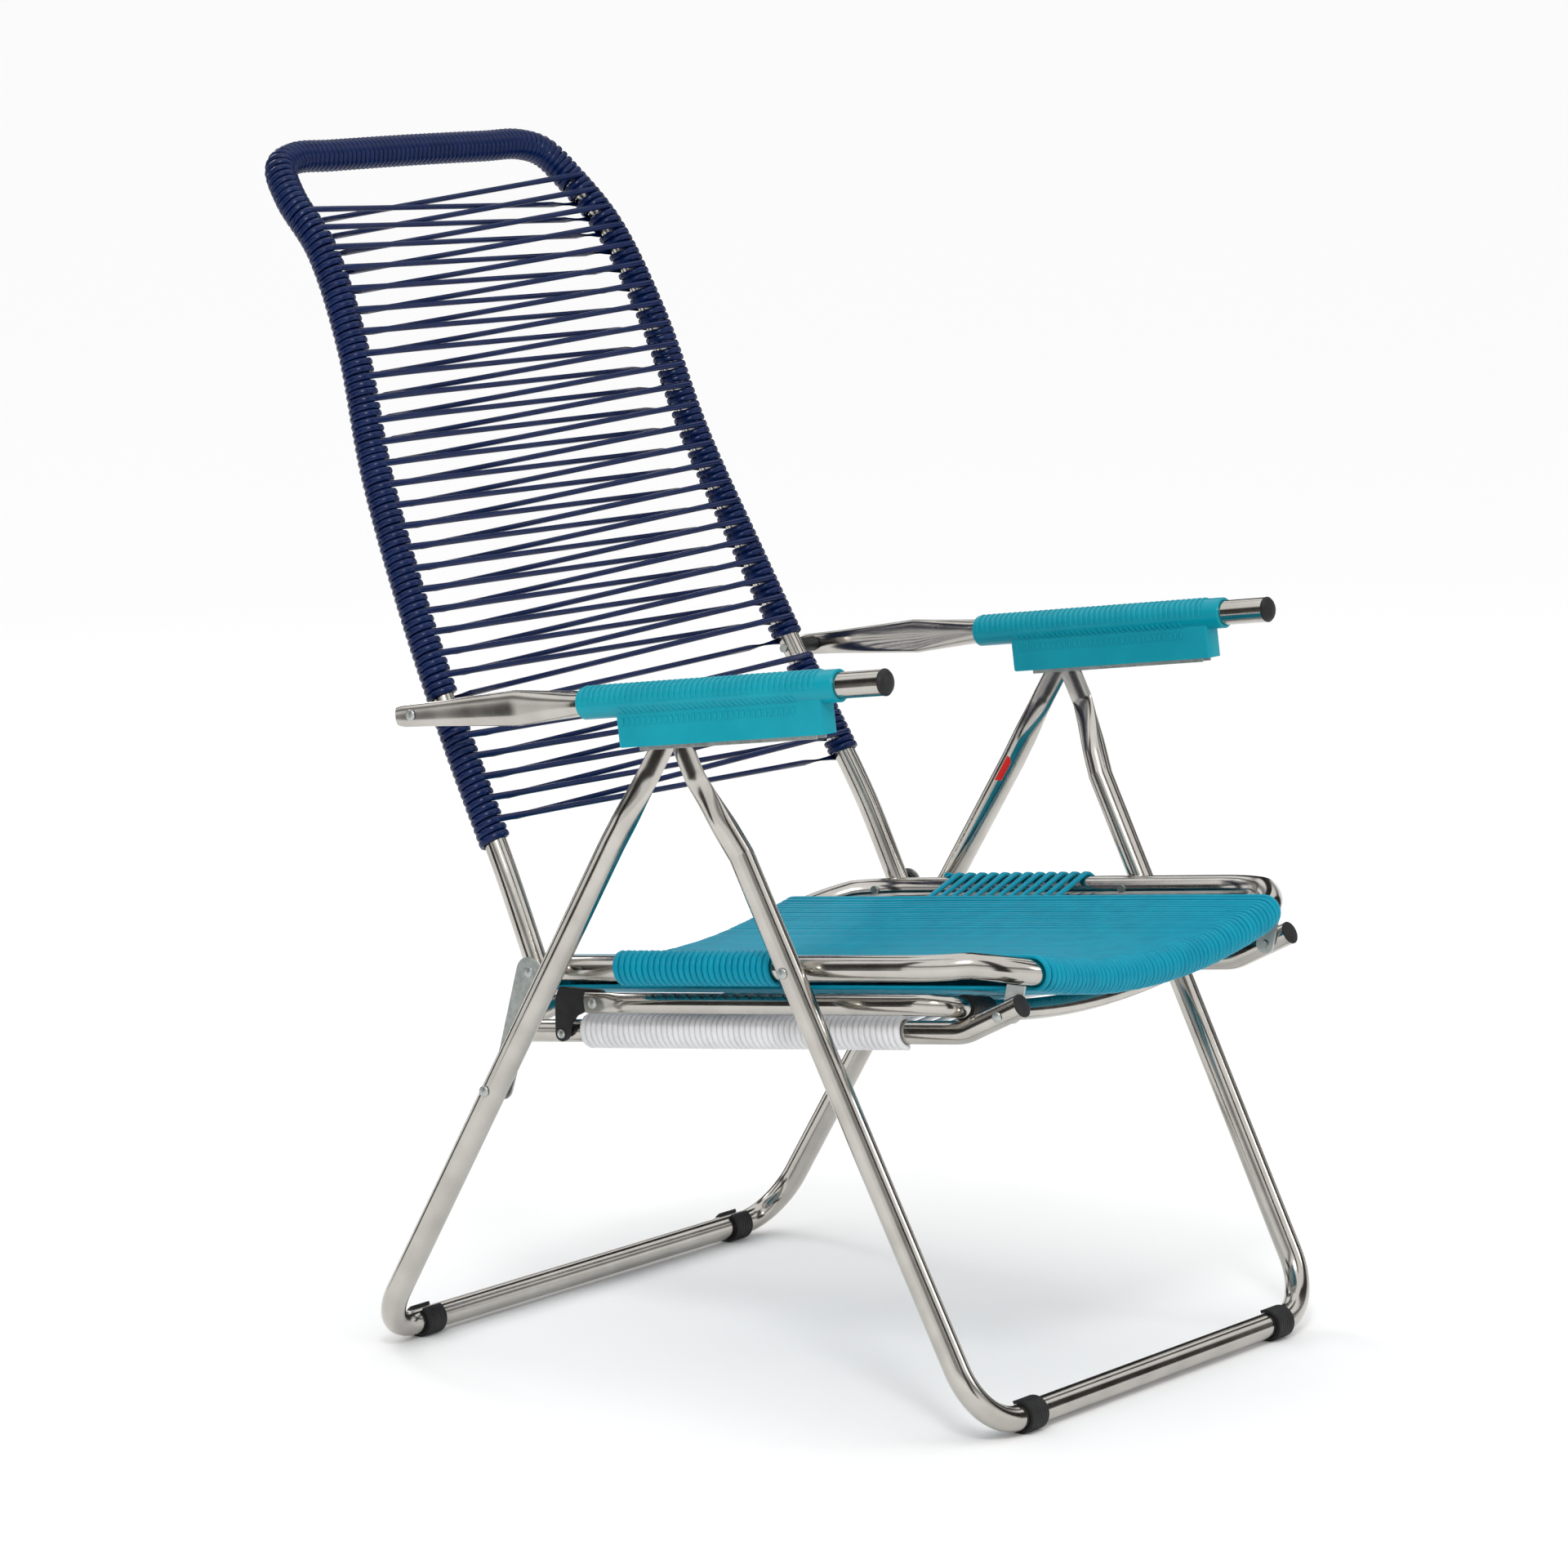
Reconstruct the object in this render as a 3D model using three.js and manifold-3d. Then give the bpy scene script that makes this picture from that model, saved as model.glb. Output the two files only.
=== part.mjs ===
// Folding beach chair: two tubular U legs, a trough seat laced with cord, a reclining laced backrest,
// armrests that lock on a rack, and a footrest with its own leg stowed under the seat.
// Millimetres, +Z up, the sitter faces -Y. "L" is the -X side and "R" the +X side.
import * as THREE from "three";
import { mergeVertices } from "three/addons/utils/BufferGeometryUtils.js";
import Module from "manifold-3d";

const wasm = await Module();
wasm.setup();

// ---------- driving dimensions ----------
const GAP = 0.3; // between touching pieces
const LEG_R = 11; // 22 mm tube of the legs, the seat ring and the armrests
const BACK_R = 10; // 20 mm tube of the backrest and the footrest
const PROP_R = 9; // 18 mm tube of the footrest's own leg
const WALL = 1.2; // tube wall
const SIDES = 12; // facets round a tube
const BORE_SIDES = 8; // facets round a tube's bore
const FLAT_T = 4.4; // thickness of a leg's pressed end

// pivots, as [y, z], all on axes parallel to X
const TOP = [291.7, 576.7]; // both leg frames, under the armrest
const SEAT_PIVOT = [189.2, 378.2]; // seat ring on the front legs
const BACK_PIVOT = [453.5, 351.0]; // backrest and link on the seat ring
const LINK_FOOT = [482.3, 247.8]; // link plate on the rear legs
const ARM_PIVOT = [568.5, 564.4]; // armrest on the backrest
const LUG_PIVOT = [16.6, 352.0]; // footrest under the seat's front bar
const PROP_PIVOT = [424.0, 319.3]; // footrest leg on its brackets

// half widths, from the middle of the chair
const FRONT_BOTTOM_X = 265;
const FRONT_TOP_X = 279.5;
const REAR_BOTTOM_X = 297.5;
const REAR_TOP_X = 307;
const ARM_X = 299;
const FRONT_TAB_X = 296.4; // pressed end of the front leg, inside the rack
const REAR_TAB_X = 301.6;
const SEAT_X = 249;
const FOOTREST_X = 213.5;
const PROP_X = 233;

const FOOT_Z = 14; // crossbar axis above the floor
const FOOT_R = 14.4; // outside of a foot clip, a little flattened where it stands
const REAR_FOOT_Y = 613.2;
const FRONT_CLIP_X = 198;
const REAR_CLIP_X = 231;
const CLIP_LENGTH = 24;

const SEAT_FRONT_Y = 4;
const SEAT_REAR_Y = 512;
const SEAT_CORNER_R = 85;
const SEAT_FRONT_Z = 397.9; // axis height of the ring at y = 0
const SEAT_SLOPE = -0.108;
const SEAT_SAG = 35; // how far the end bars bow down
const SEAT_SAG_HALF = 232; // half width over which they bow
const SEAT_CORD = 3.6; // thickness of a cord pressed on a bar
const SEAT_BELT_X = 168;
const BAND = [205, 385]; // where the cross cords wrap the side rails

const ARM_SLOPE = -0.1405;
const ARM_FRONT = [79, 632.5];
const ARM_TAIL = 17; // armrest past its pivot
const COVER_R = 14;
const COVER = [122, 384]; // along y
const BOX = [137, 346];
const RACK = [146, 327];
const BOX_HALF = 10;
const BOX_DEPTH = 38.7; // below the armrest's axis
const RACK_DEPTH = 42.1;

const CENTRE_Y = 405.95; // middle of the chair's length

// ---------- solids ----------
// Gives a geometry back as a manifold solid with its faces pointing out.
function toSolid(geometry) {
  const bare = geometry.index ? geometry.toNonIndexed() : geometry.clone();
  const clean = new THREE.BufferGeometry().setAttribute("position", bare.getAttribute("position"));
  const merged = mergeVertices(clean, 1e-3);
  const triVerts = new Uint32Array(merged.index.array);
  const vertProperties = merged.attributes.position.array;
  const make = () => new wasm.Manifold(new wasm.Mesh({ numProp: 3, vertProperties, triVerts }));
  const solid = make();
  if (solid.volume() >= 0) return solid;
  for (let i = 0; i < triVerts.length; i += 3) {
    [triVerts[i + 1], triVerts[i + 2]] = [triVerts[i + 2], triVerts[i + 1]];
  }
  return make();
}

function toGeometry(solid) {
  const mesh = solid.getMesh();
  const stride = mesh.numProp;
  const positions = new Float32Array(mesh.numVert * 3);
  for (let i = 0; i < mesh.numVert; i++) {
    positions.set(mesh.vertProperties.subarray(i * stride, i * stride + 3), i * 3);
  }
  const geometry = new THREE.BufferGeometry();
  geometry.setAttribute("position", new THREE.BufferAttribute(positions, 3));
  geometry.setIndex(new THREE.BufferAttribute(new Uint32Array(mesh.triVerts), 1));
  geometry.computeVertexNormals();
  return geometry;
}

const vec = (x, y, z) => new THREE.Vector3(x, y, z);
const mirrorX = (p) => vec(-p.x, p.y, p.z);
const seatZ = (y) => SEAT_FRONT_Z + SEAT_SLOPE * y;
const sag = (x, depth, half) => depth * Math.max(0, 1 - (x / half) ** 2);
const armZ = (y) => ARM_FRONT[1] + ARM_SLOPE * (y - ARM_FRONT[0]);

// A curve through given stations, so that a sweep has exactly one section at each of them.
class StationCurve extends THREE.Curve {
  constructor(stations, closed = false) {
    super();
    this.stations = stations;
    this.closed = closed;
  }
  count() {
    return this.closed ? this.stations.length : this.stations.length - 1;
  }
  at(i) {
    const n = this.stations.length;
    if (this.closed) return this.stations[((i % n) + n) % n];
    return this.stations[Math.min(Math.max(i, 0), n - 1)];
  }
  getPoint(t, target = new THREE.Vector3()) {
    return target.copy(this.at(Math.round(t * this.count())));
  }
  getPointAt(u, target) {
    return this.getPoint(u, target);
  }
  getTangent(t, target = new THREE.Vector3()) {
    const i = Math.round(t * this.count());
    const ahead = this.at(i + 1).clone().sub(this.at(i));
    const behind = this.at(i).clone().sub(this.at(i - 1));
    if (ahead.lengthSq() > 0) ahead.normalize();
    if (behind.lengthSq() > 0) behind.normalize();
    return target.copy(ahead).add(behind).normalize();
  }
  getTangentAt(u, target) {
    return this.getTangent(u, target);
  }
}

// Rounds each inner corner of a polyline with an arc of the radius given for it.
function filleted(points, radii, arcSteps = 5) {
  const out = [points[0]];
  for (let i = 1; i < points.length - 1; i++) {
    const corner = points[i];
    const back = points[i - 1].clone().sub(corner).normalize();
    const on = points[i + 1].clone().sub(corner).normalize();
    const half = Math.acos(THREE.MathUtils.clamp(back.dot(on), -1, 1)) / 2;
    const reach = radii[i - 1] / Math.tan(half);
    const middle = back.clone().add(on).normalize();
    const centre = corner.clone().addScaledVector(middle, radii[i - 1] / Math.sin(half));
    const from = corner.clone().addScaledVector(back, reach).sub(centre);
    const to = corner.clone().addScaledVector(on, reach).sub(centre);
    const sweep = from.angleTo(to);
    for (let k = 0; k <= arcSteps; k++) {
      const a = (sweep * k) / arcSteps;
      const point = from.clone().multiplyScalar(Math.sin(sweep - a) / Math.sin(sweep));
      out.push(point.addScaledVector(to, Math.sin(a) / Math.sin(sweep)).add(centre));
    }
  }
  out.push(points[points.length - 1]);
  return out;
}

function ringPoints(radius, sides) {
  return Array.from({ length: sides }, (_, i) => {
    const a = (2 * Math.PI * (i + 0.5)) / sides;
    return new THREE.Vector2(radius * Math.cos(a), radius * Math.sin(a));
  });
}

// A tube swept through stations, hollow when a bore radius is given.
function tube(stations, radius, bore = 0, sides = SIDES, boreSides = BORE_SIDES) {
  const shape = new THREE.Shape(ringPoints(radius, sides));
  if (bore > 0) shape.holes.push(new THREE.Path(ringPoints(bore, boreSides)));
  const path = new StationCurve(stations);
  return new THREE.ExtrudeGeometry(shape, { steps: path.count(), extrudePath: path, bevelEnabled: false });
}

// A profile drawn in the YZ plane and given a thickness from x0 to x1.
function plateX(points, x0, x1, holes = []) {
  const shape = new THREE.Shape(points.map(([y, z]) => new THREE.Vector2(y, z)));
  holes.forEach(({ at, radius }) => {
    const ring = ringPoints(radius, SIDES).map((p) => p.add(new THREE.Vector2(at[0], at[1])));
    shape.holes.push(new THREE.Path(ring));
  });
  const geometry = new THREE.ExtrudeGeometry(shape, { depth: x1 - x0, bevelEnabled: false });
  const axes = new THREE.Matrix4().makeBasis(vec(0, 1, 0), vec(0, 0, 1), vec(1, 0, 0));
  return geometry.applyMatrix4(axes).translate(x0, 0, 0);
}

// A turned piece on an axis parallel to X: the profile is a list of [x, radius].
function turnedX(profile, [y, z], sides = SIDES) {
  const points = profile.map(([x, r]) => new THREE.Vector2(r, x));
  const geometry = new THREE.LatheGeometry(points, sides);
  geometry.rotateZ(-Math.PI / 2);
  return geometry.translate(0, y, z);
}

// Bore radius of a faceted sleeve that stays GAP clear of the tube inside it.
const sleeveBore = (radius) => (radius + GAP) / Math.cos(Math.PI / SIDES);

const pinX = (at, radius, x0, x1) => turnedX([[x0, 0], [x0, radius], [x1, radius], [x1, 0]], at);

function subtract(geometry, ...cutters) {
  return toGeometry(cutters.reduce((rest, cutter) => rest.subtract(toSolid(cutter)), toSolid(geometry)));
}

function join(first, ...others) {
  return toGeometry(others.reduce((sum, other) => sum.add(toSolid(other)), toSolid(first)));
}

const mirrored = (geometry) => geometry.clone().scale(-1, 1, 1);

const boxAt = (x0, x1, y0, y1, z0, z1) =>
  new THREE.BoxGeometry(x1 - x0, y1 - y0, z1 - z0).translate((x0 + x1) / 2, (y0 + y1) / 2, (z0 + z1) / 2);

// ---------- scene graph ----------
const chair = new THREE.Group();
const frame = new THREE.Group();
frame.position.y = -CENTRE_Y;
chair.add(frame);

const FINISH = {
  metal: { color: 0xb5ada3, roughness: 0.28, metalness: 1 },
  zinc: { color: 0x93a3a0, roughness: 0.45, metalness: 1 },
  black: { color: 0x141416, roughness: 0.5, metalness: 0 },
  navy: { color: 0x0a2458, roughness: 0.4, metalness: 0 },
  turquoise: { color: 0x00a0b8, roughness: 0.42, metalness: 0 },
  white: { color: 0xe8e8ec, roughness: 0.45, metalness: 0 },
};

function add(name, geometry, finish) {
  const solid = toGeometry(toSolid(geometry));
  const mesh = new THREE.Mesh(solid, new THREE.MeshStandardMaterial(FINISH[finish]));
  mesh.name = name;
  frame.add(mesh);
}

// Adds a piece made for the +X side and its mirror image.
function addPair(name, geometry, finish) {
  add(name + "_R", geometry, finish);
  add(name + "_L", mirrored(geometry), finish);
}

// ---------- legs ----------
// One U of tube: two legs from the top pivot to the floor and the crossbar between them.
function legFrame(footY, bottomX, topX, tabX, cornerR) {
  const top = vec(0, TOP[0], TOP[1]);
  const foot = vec(0, footY, FOOT_Z);
  const length = top.distanceTo(foot);
  const down = foot.clone().sub(top).divideScalar(length);
  const along = (distance, x) => top.clone().addScaledVector(down, distance).setX(x);
  const TIP = 8; // past the pivot
  const TIP_NARROW = 0.55; // share by which the tip's width is rounded off
  const PRESSED = 42; // flat stretch below the pivot
  const ROUND = 78; // where the tube is round again
  const roundX = topX + ((bottomX - topX) * ROUND) / length;
  const half = [-TIP, 0, PRESSED, PRESSED + 18, ROUND].map((d, i) =>
    along(d, i < 3 ? tabX : tabX + (roundX - tabX) * (i === 3 ? 0.5 : 1)),
  );
  const corner = filleted(
    [half[4], vec(bottomX, footY, FOOT_Z), vec(0, footY, FOOT_Z)],
    [cornerR],
  );
  const side = [...half.slice(0, 4), ...corner.slice(0, -1)];
  const stations = [...side, ...side.slice().reverse().map(mirrorX)];
  const geometry = tube(stations, LEG_R, LEG_R - WALL);
  const position = geometry.attributes.position;
  const point = new THREE.Vector3();
  for (let i = 0; i < position.count; i++) {
    point.fromBufferAttribute(position, i);
    const distance = point.clone().sub(top).dot(down);
    if (distance > ROUND - 1) continue;
    const press = THREE.MathUtils.clamp((ROUND - distance) / (ROUND - PRESSED), 0, 1);
    if (distance < 1 - TIP) {
      const across = point.clone().sub(top).setX(0).addScaledVector(down, -distance);
      position.setY(i, point.y - across.y * TIP_NARROW);
      position.setZ(i, point.z - across.z * TIP_NARROW);
    }
    const centreX = distance < PRESSED + 1 ? tabX : THREE.MathUtils.lerp(roundX, tabX, press);
    const side = Math.sign(point.x);
    const thin = THREE.MathUtils.lerp(1, FLAT_T / (2 * LEG_R), press);
    position.setX(i, side * centreX + (point.x - side * centreX) * thin);
  }
  return subtract(
    geometry,
    pinX(TOP, 4 + GAP, tabX - LEG_R, tabX + LEG_R),
    pinX(TOP, 4 + GAP, -tabX - LEG_R, -tabX + LEG_R),
  );
}

const RIVET_R = 3; // shank of every rivet
const holePair = (at, x0, x1) => [
  pinX(at, RIVET_R + GAP, x0, x1),
  pinX(at, RIVET_R + GAP, -x1, -x0),
];

const legX = (z, bottomX, topX) => bottomX + ((topX - bottomX) * (z - FOOT_Z)) / (TOP[1] - FOOT_Z);
const frontLegX = legX(SEAT_PIVOT[1], FRONT_BOTTOM_X, FRONT_TOP_X);
const rearLegX = legX(LINK_FOOT[1], REAR_BOTTOM_X, REAR_TOP_X);

add(
  "front_leg_frame",
  subtract(
    legFrame(0, FRONT_BOTTOM_X, FRONT_TOP_X, FRONT_TAB_X, 55),
    ...holePair(SEAT_PIVOT, frontLegX - 20, frontLegX + 20),
  ),
  "metal",
);
add(
  "rear_leg_frame",
  subtract(
    legFrame(REAR_FOOT_Y, REAR_BOTTOM_X, REAR_TOP_X, REAR_TAB_X, 50),
    ...holePair(LINK_FOOT, rearLegX - 2, rearLegX + 20),
  ),
  "metal",
);

// A split ring of plastic snapped on a crossbar, open towards the given angle.
function footClip([y, z], inner, outer, x, length, openAt) {
  const OPEN_HALF = 0.45; // half angle of the split, in radians
  const STEPS = 12;
  const arc = (radius, flip) =>
    Array.from({ length: STEPS + 1 }, (_, i) => {
      const share = (flip ? STEPS - i : i) / STEPS;
      const a = openAt + OPEN_HALF + share * (2 * Math.PI - 2 * OPEN_HALF);
      return [y + radius * Math.cos(a), z + radius * Math.sin(a)];
    });
  return plateX([...arc(outer, false), ...arc(inner, true)], x - length / 2, x + length / 2);
}
function clip(y, x, openAt) {
  const ring = footClip([y, FOOT_Z], LEG_R + GAP, FOOT_R, x, CLIP_LENGTH, openAt);
  return subtract(ring, boxAt(x - CLIP_LENGTH, x + CLIP_LENGTH, y - 2 * FOOT_R, y + 2 * FOOT_R, -5, 0));
}
addPair("front_foot", clip(0, FRONT_CLIP_X, Math.PI / 5), "black");
addPair("rear_foot", clip(REAR_FOOT_Y, REAR_CLIP_X, Math.PI / 2), "black");

// Pin that holds both pressed leg ends together inside the armrest's rack.
addPair("top_pin", pinX(TOP, 4, ARM_X - 5.2, ARM_X + 5.2), "zinc");

// A rivet: a domed head at x1, a shank and an optional flat tail at x0.
function rivet(at, x0, x1, headR = 5, headT = 2.2, tail = true) {
  const start = tail ? [[x0 - 1.4, 0], [x0 - 1.4, headR - 1], [x0, headR - 1]] : [[x0, 0]];
  const profile = [...start, [x0, RIVET_R], [x1, RIVET_R], [x1, headR], [x1 + headT * 0.6, headR * 0.75]];
  return turnedX([...profile, [x1 + headT, 0]], at, 10);
}
addPair(
  "seat_rivet",
  rivet(SEAT_PIVOT, SEAT_X - LEG_R - GAP, frontLegX + LEG_R + GAP),
  "zinc",
);
addPair("link_rivet", rivet(LINK_FOOT, rearLegX - 1, rearLegX + LEG_R + GAP, 5, 2.2, false), "zinc");

// ---------- seat ----------
// The ring's axis, counter-clockwise from the front left corner, with both end bars bowed down.
function seatRing() {
  const CORNER_STEPS = 6;
  const BAR_STEPS = 6;
  const plan = [];
  const corners = [
    [SEAT_X - SEAT_CORNER_R, SEAT_FRONT_Y + SEAT_CORNER_R, -Math.PI / 2],
    [SEAT_X - SEAT_CORNER_R, SEAT_REAR_Y - SEAT_CORNER_R, 0],
    [SEAT_CORNER_R - SEAT_X, SEAT_REAR_Y - SEAT_CORNER_R, Math.PI / 2],
    [SEAT_CORNER_R - SEAT_X, SEAT_FRONT_Y + SEAT_CORNER_R, Math.PI],
  ];
  corners.forEach(([cx, cy, start], index) => {
    for (let i = 0; i <= CORNER_STEPS; i++) {
      const a = start + ((Math.PI / 2) * i) / CORNER_STEPS;
      plan.push([cx + SEAT_CORNER_R * Math.cos(a), cy + SEAT_CORNER_R * Math.sin(a)]);
    }
    if (index % 2 === 1) {
      const [fromX, y] = plan[plan.length - 1];
      for (let i = 1; i < BAR_STEPS; i++) plan.push([fromX * (1 - (2 * i) / BAR_STEPS), y]);
    }
  });
  return plan.map(([x, y]) => {
    const onBar = y < SEAT_FRONT_Y + SEAT_CORNER_R || y > SEAT_REAR_Y - SEAT_CORNER_R;
    return vec(x, y, seatZ(y) - (onBar ? sag(x, SEAT_SAG, SEAT_SAG_HALF) : 0));
  });
}
const ringPath = new StationCurve(seatRing(), true);
const ringTube = (radius, sides) =>
  new THREE.TubeGeometry(ringPath, ringPath.count(), radius, sides, true);
add(
  "seat_frame",
  subtract(
    ringTube(LEG_R, SIDES),
    ringTube(LEG_R - WALL, BORE_SIDES),
    ...holePair(SEAT_PIVOT, SEAT_X - 20, SEAT_X + 20),
    ...holePair(BACK_PIVOT, SEAT_X - 20, SEAT_X + 20),
  ),
  "metal",
);

// Bends a flat solid down to the sag of the end bars.
function sagged(geometry, depth, half) {
  const position = geometry.attributes.position;
  for (let i = 0; i < position.count; i++) {
    position.setZ(i, position.getZ(i) - sag(position.getX(i), depth, half));
  }
  return geometry;
}

// A loop round two bars in the YZ plane, as a closed list of [y, z].
function beltOutline(front, rear, radius, steps = 8) {
  const slope = Math.atan2(rear[1] - front[1], rear[0] - front[0]);
  const end = (at, start) =>
    Array.from({ length: steps + 1 }, (_, i) => {
      const a = slope + start + (Math.PI * i) / steps;
      return [at[0] + radius * Math.cos(a), at[1] + radius * Math.sin(a)];
    });
  return [...end(rear, -Math.PI / 2), ...end(front, Math.PI / 2)];
}

// Front-to-back cords: one loop over both end bars, upper and lower layer.
function seatBelt() {
  const front = [SEAT_FRONT_Y, seatZ(SEAT_FRONT_Y)];
  const rear = [SEAT_REAR_Y, seatZ(SEAT_REAR_Y)];
  const inner = LEG_R + 1;
  const outline = beltOutline(front, rear, inner + SEAT_CORD);
  const shape = new THREE.Shape(outline.map(([y, z]) => new THREE.Vector2(y, z)));
  const hole = beltOutline(front, rear, inner);
  shape.holes.push(new THREE.Path(hole.map(([y, z]) => new THREE.Vector2(y, z))));
  const STEPS = 8;
  const belt = new THREE.ExtrudeGeometry(shape, { depth: 2 * SEAT_BELT_X, steps: STEPS, bevelEnabled: false });
  const axes = new THREE.Matrix4().makeBasis(vec(0, 1, 0), vec(0, 0, 1), vec(1, 0, 0));
  belt.applyMatrix4(axes).translate(-SEAT_BELT_X, 0, 0);
  return sagged(belt, SEAT_SAG, SEAT_SAG_HALF);
}
add("seat_cords", seatBelt(), "turquoise");

// Cross cords: a sleeve round each side rail and a layer between them, inside the loop.
function seatBand() {
  const STEPS = 12;
  const LAYER_T = 4;
  const rail = (x) => [vec(x, BAND[0], seatZ(BAND[0])), vec(x, BAND[1], seatZ(BAND[1]))];
  const sleeve = tube(rail(SEAT_X), sleeveBore(LEG_R) + SEAT_CORD, sleeveBore(LEG_R), SIDES, SIDES);
  const edge = SEAT_X - LEG_R - 2;
  const layer = new THREE.BoxGeometry(2 * edge, BAND[1] - BAND[0], LAYER_T, STEPS, 1, 1);
  layer.translate(0, (BAND[0] + BAND[1]) / 2, 0);
  const position = layer.attributes.position;
  for (let i = 0; i < position.count; i++) {
    position.setZ(i, position.getZ(i) + seatZ(position.getY(i)));
  }
  return join(sagged(layer, SEAT_SAG, edge), sleeve, mirrored(sleeve));
}
add("seat_cross_cords", seatBand(), "turquoise");

// Plate welded under the ring, with the footrest's pivot hole.
function lug() {
  const LUG_X = FOOTREST_X - BACK_R - GAP - 0.4;
  const LUG_T = 2.5;
  const HALF = 9;
  const ringY = 12;
  const topZ = seatZ(ringY) - sag(LUG_X, SEAT_SAG, SEAT_SAG_HALF) - LEG_R - 1.2;
  const bottom = Array.from({ length: 7 }, (_, i) => {
    const a = Math.PI + (Math.PI * i) / 6;
    return [LUG_PIVOT[0] + HALF * Math.cos(a), LUG_PIVOT[1] + HALF * Math.sin(a)];
  });
  const outline = [...bottom, [ringY + HALF, topZ], [ringY - HALF, topZ]];
  return plateX(outline, LUG_X - LUG_T, LUG_X, [{ at: LUG_PIVOT, radius: RIVET_R + GAP }]);
}
addPair("footrest_lug", lug(), "zinc");

// ---------- backrest ----------
// The right-hand half of the tube's axis, from the seat pivot to the middle of the top bar.
const BACK_SIDE = [
  [273.5, 446, 338],
  [272.8, 454.5, 353],
  [269.5, 491, 430],
  [260, 552, 540],
  [248.5, 609, 650],
  [233.5, 661, 760],
  [218.5, 700, 870],
  [208, 742, 950],
  [202, 782, 993],
  [189, 804, 1018],
  [162, 811, 1026],
  [110, 811.5, 1026.5],
  [0, 811.5, 1027],
].map(([x, y, z]) => vec(x, y, z));
const BACK_WOUND_R = 14.3;
const backSpline = new THREE.CatmullRomCurve3(
  [...BACK_SIDE, ...BACK_SIDE.slice(0, -1).reverse().map(mirrorX)],
  false,
  "centripetal",
);
const backPoint = (t) => backSpline.getPoint(t);

// Spline parameter where the right-hand side tube reaches a height.
function backAtZ(z) {
  let low = 0;
  let high = 0.4;
  for (let i = 0; i < 40; i++) {
    const middle = (low + high) / 2;
    if (backPoint(middle).z < z) low = middle;
    else high = middle;
  }
  return low;
}

const WRAP_FROM_Z = 455;
const ARM_BARE = 12; // bare tube each side of the armrest's pivot
const wrapLow = backAtZ(WRAP_FROM_Z);
const wrapGapLow = backAtZ(ARM_PIVOT[1] - ARM_BARE);
const wrapGapHigh = backAtZ(ARM_PIVOT[1] + ARM_BARE);

// Spline parameters of the tube's sections; the windings take a stretch of the same ones.
function backParameters() {
  const stretches = [
    [0, wrapLow, 3],
    [wrapLow, wrapGapLow, 3],
    [wrapGapLow, wrapGapHigh, 1],
    [wrapGapHigh, 0.5, 18],
  ];
  const half = stretches.flatMap(([from, to, steps]) =>
    Array.from({ length: steps }, (_, i) => from + ((to - from) * i) / steps),
  );
  return [...half, 0.5, ...half.slice().reverse().map((t) => 1 - t)];
}
const backParams = backParameters();
const backStations = (from, to) =>
  backParams.filter((t) => t > from - 1e-9 && t < to + 1e-9).map(backPoint);

const backW = (z) => backPoint(backAtZ(z)).x;
const armHoleX = backW(ARM_PIVOT[1]);
const backHoleX = backW(BACK_PIVOT[1]);
add(
  "backrest_frame",
  subtract(
    tube(backStations(0, 1), BACK_R, BACK_R - WALL),
    ...holePair(BACK_PIVOT, backHoleX - 20, backHoleX + 20),
    ...holePair(ARM_PIVOT, armHoleX - 20, armHoleX + 20),
  ),
  "metal",
);

const winding = (from, to) =>
  tube(backStations(from, to), BACK_WOUND_R, sleeveBore(BACK_R), SIDES, SIDES);
addPair("back_winding_low", winding(wrapLow, wrapGapLow), "navy");
add("back_winding_top", winding(wrapGapHigh, 1 - wrapGapHigh), "navy");

// Strands between the side tubes, as one thin curved sheet.
function backPanel() {
  const BOTTOM = WRAP_FROM_Z + 6;
  const PANEL_TOP = 968;
  const ROWS = 12;
  const HALF_T = 2.4;
  const outline = [];
  const rows = Array.from({ length: ROWS + 1 }, (_, i) => {
    const t = backAtZ(BOTTOM + ((PANEL_TOP - BOTTOM) * i) / ROWS);
    const p = backPoint(t);
    const tangent = backSpline.getTangent(t);
    const normal = new THREE.Vector2(-tangent.z, tangent.y).normalize();
    return { p, normal };
  });
  rows.forEach(({ p, normal }) => outline.push([p.y + HALF_T * normal.x, p.z + HALF_T * normal.y]));
  rows.reverse().forEach(({ p, normal }) =>
    outline.push([p.y - HALF_T * normal.x, p.z - HALF_T * normal.y]),
  );
  const geometry = plateX(outline, -1, 1);
  const position = geometry.attributes.position;
  for (let i = 0; i < position.count; i++) {
    const reach = backW(position.getZ(i)) - BACK_WOUND_R - 1.5;
    position.setX(i, Math.sign(position.getX(i)) * reach);
  }
  return geometry;
}
add("back_cords", backPanel(), "navy");

// Plastic spacer between the seat ring and the backrest tube, and the metal one to the armrest.
const sleeveX = (at, x0, x1, outer, inner) =>
  turnedX([[x0, inner], [x0, outer], [x1, outer], [x1, inner], [x0, inner]], at);
const CORNER_AT_PIVOT = BACK_PIVOT[0] - SEAT_REAR_Y + SEAT_CORNER_R;
const backRailX = SEAT_X - SEAT_CORNER_R + Math.sqrt(SEAT_CORNER_R ** 2 - CORNER_AT_PIVOT ** 2);
const RAIL_SLANT = 2.4; // the ring already turns inward here
addPair(
  "back_spacer",
  sleeveX(BACK_PIVOT, backRailX + LEG_R + RAIL_SLANT, backHoleX - BACK_R - GAP, 7, RIVET_R + GAP),
  "black",
);
const ARM_TAIL_HALF = 4; // half thickness of the armrest's pressed end
addPair(
  "arm_spacer",
  sleeveX(ARM_PIVOT, armHoleX + BACK_R + GAP, ARM_X - ARM_TAIL_HALF - GAP, 7, RIVET_R + GAP),
  "black",
);

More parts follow.
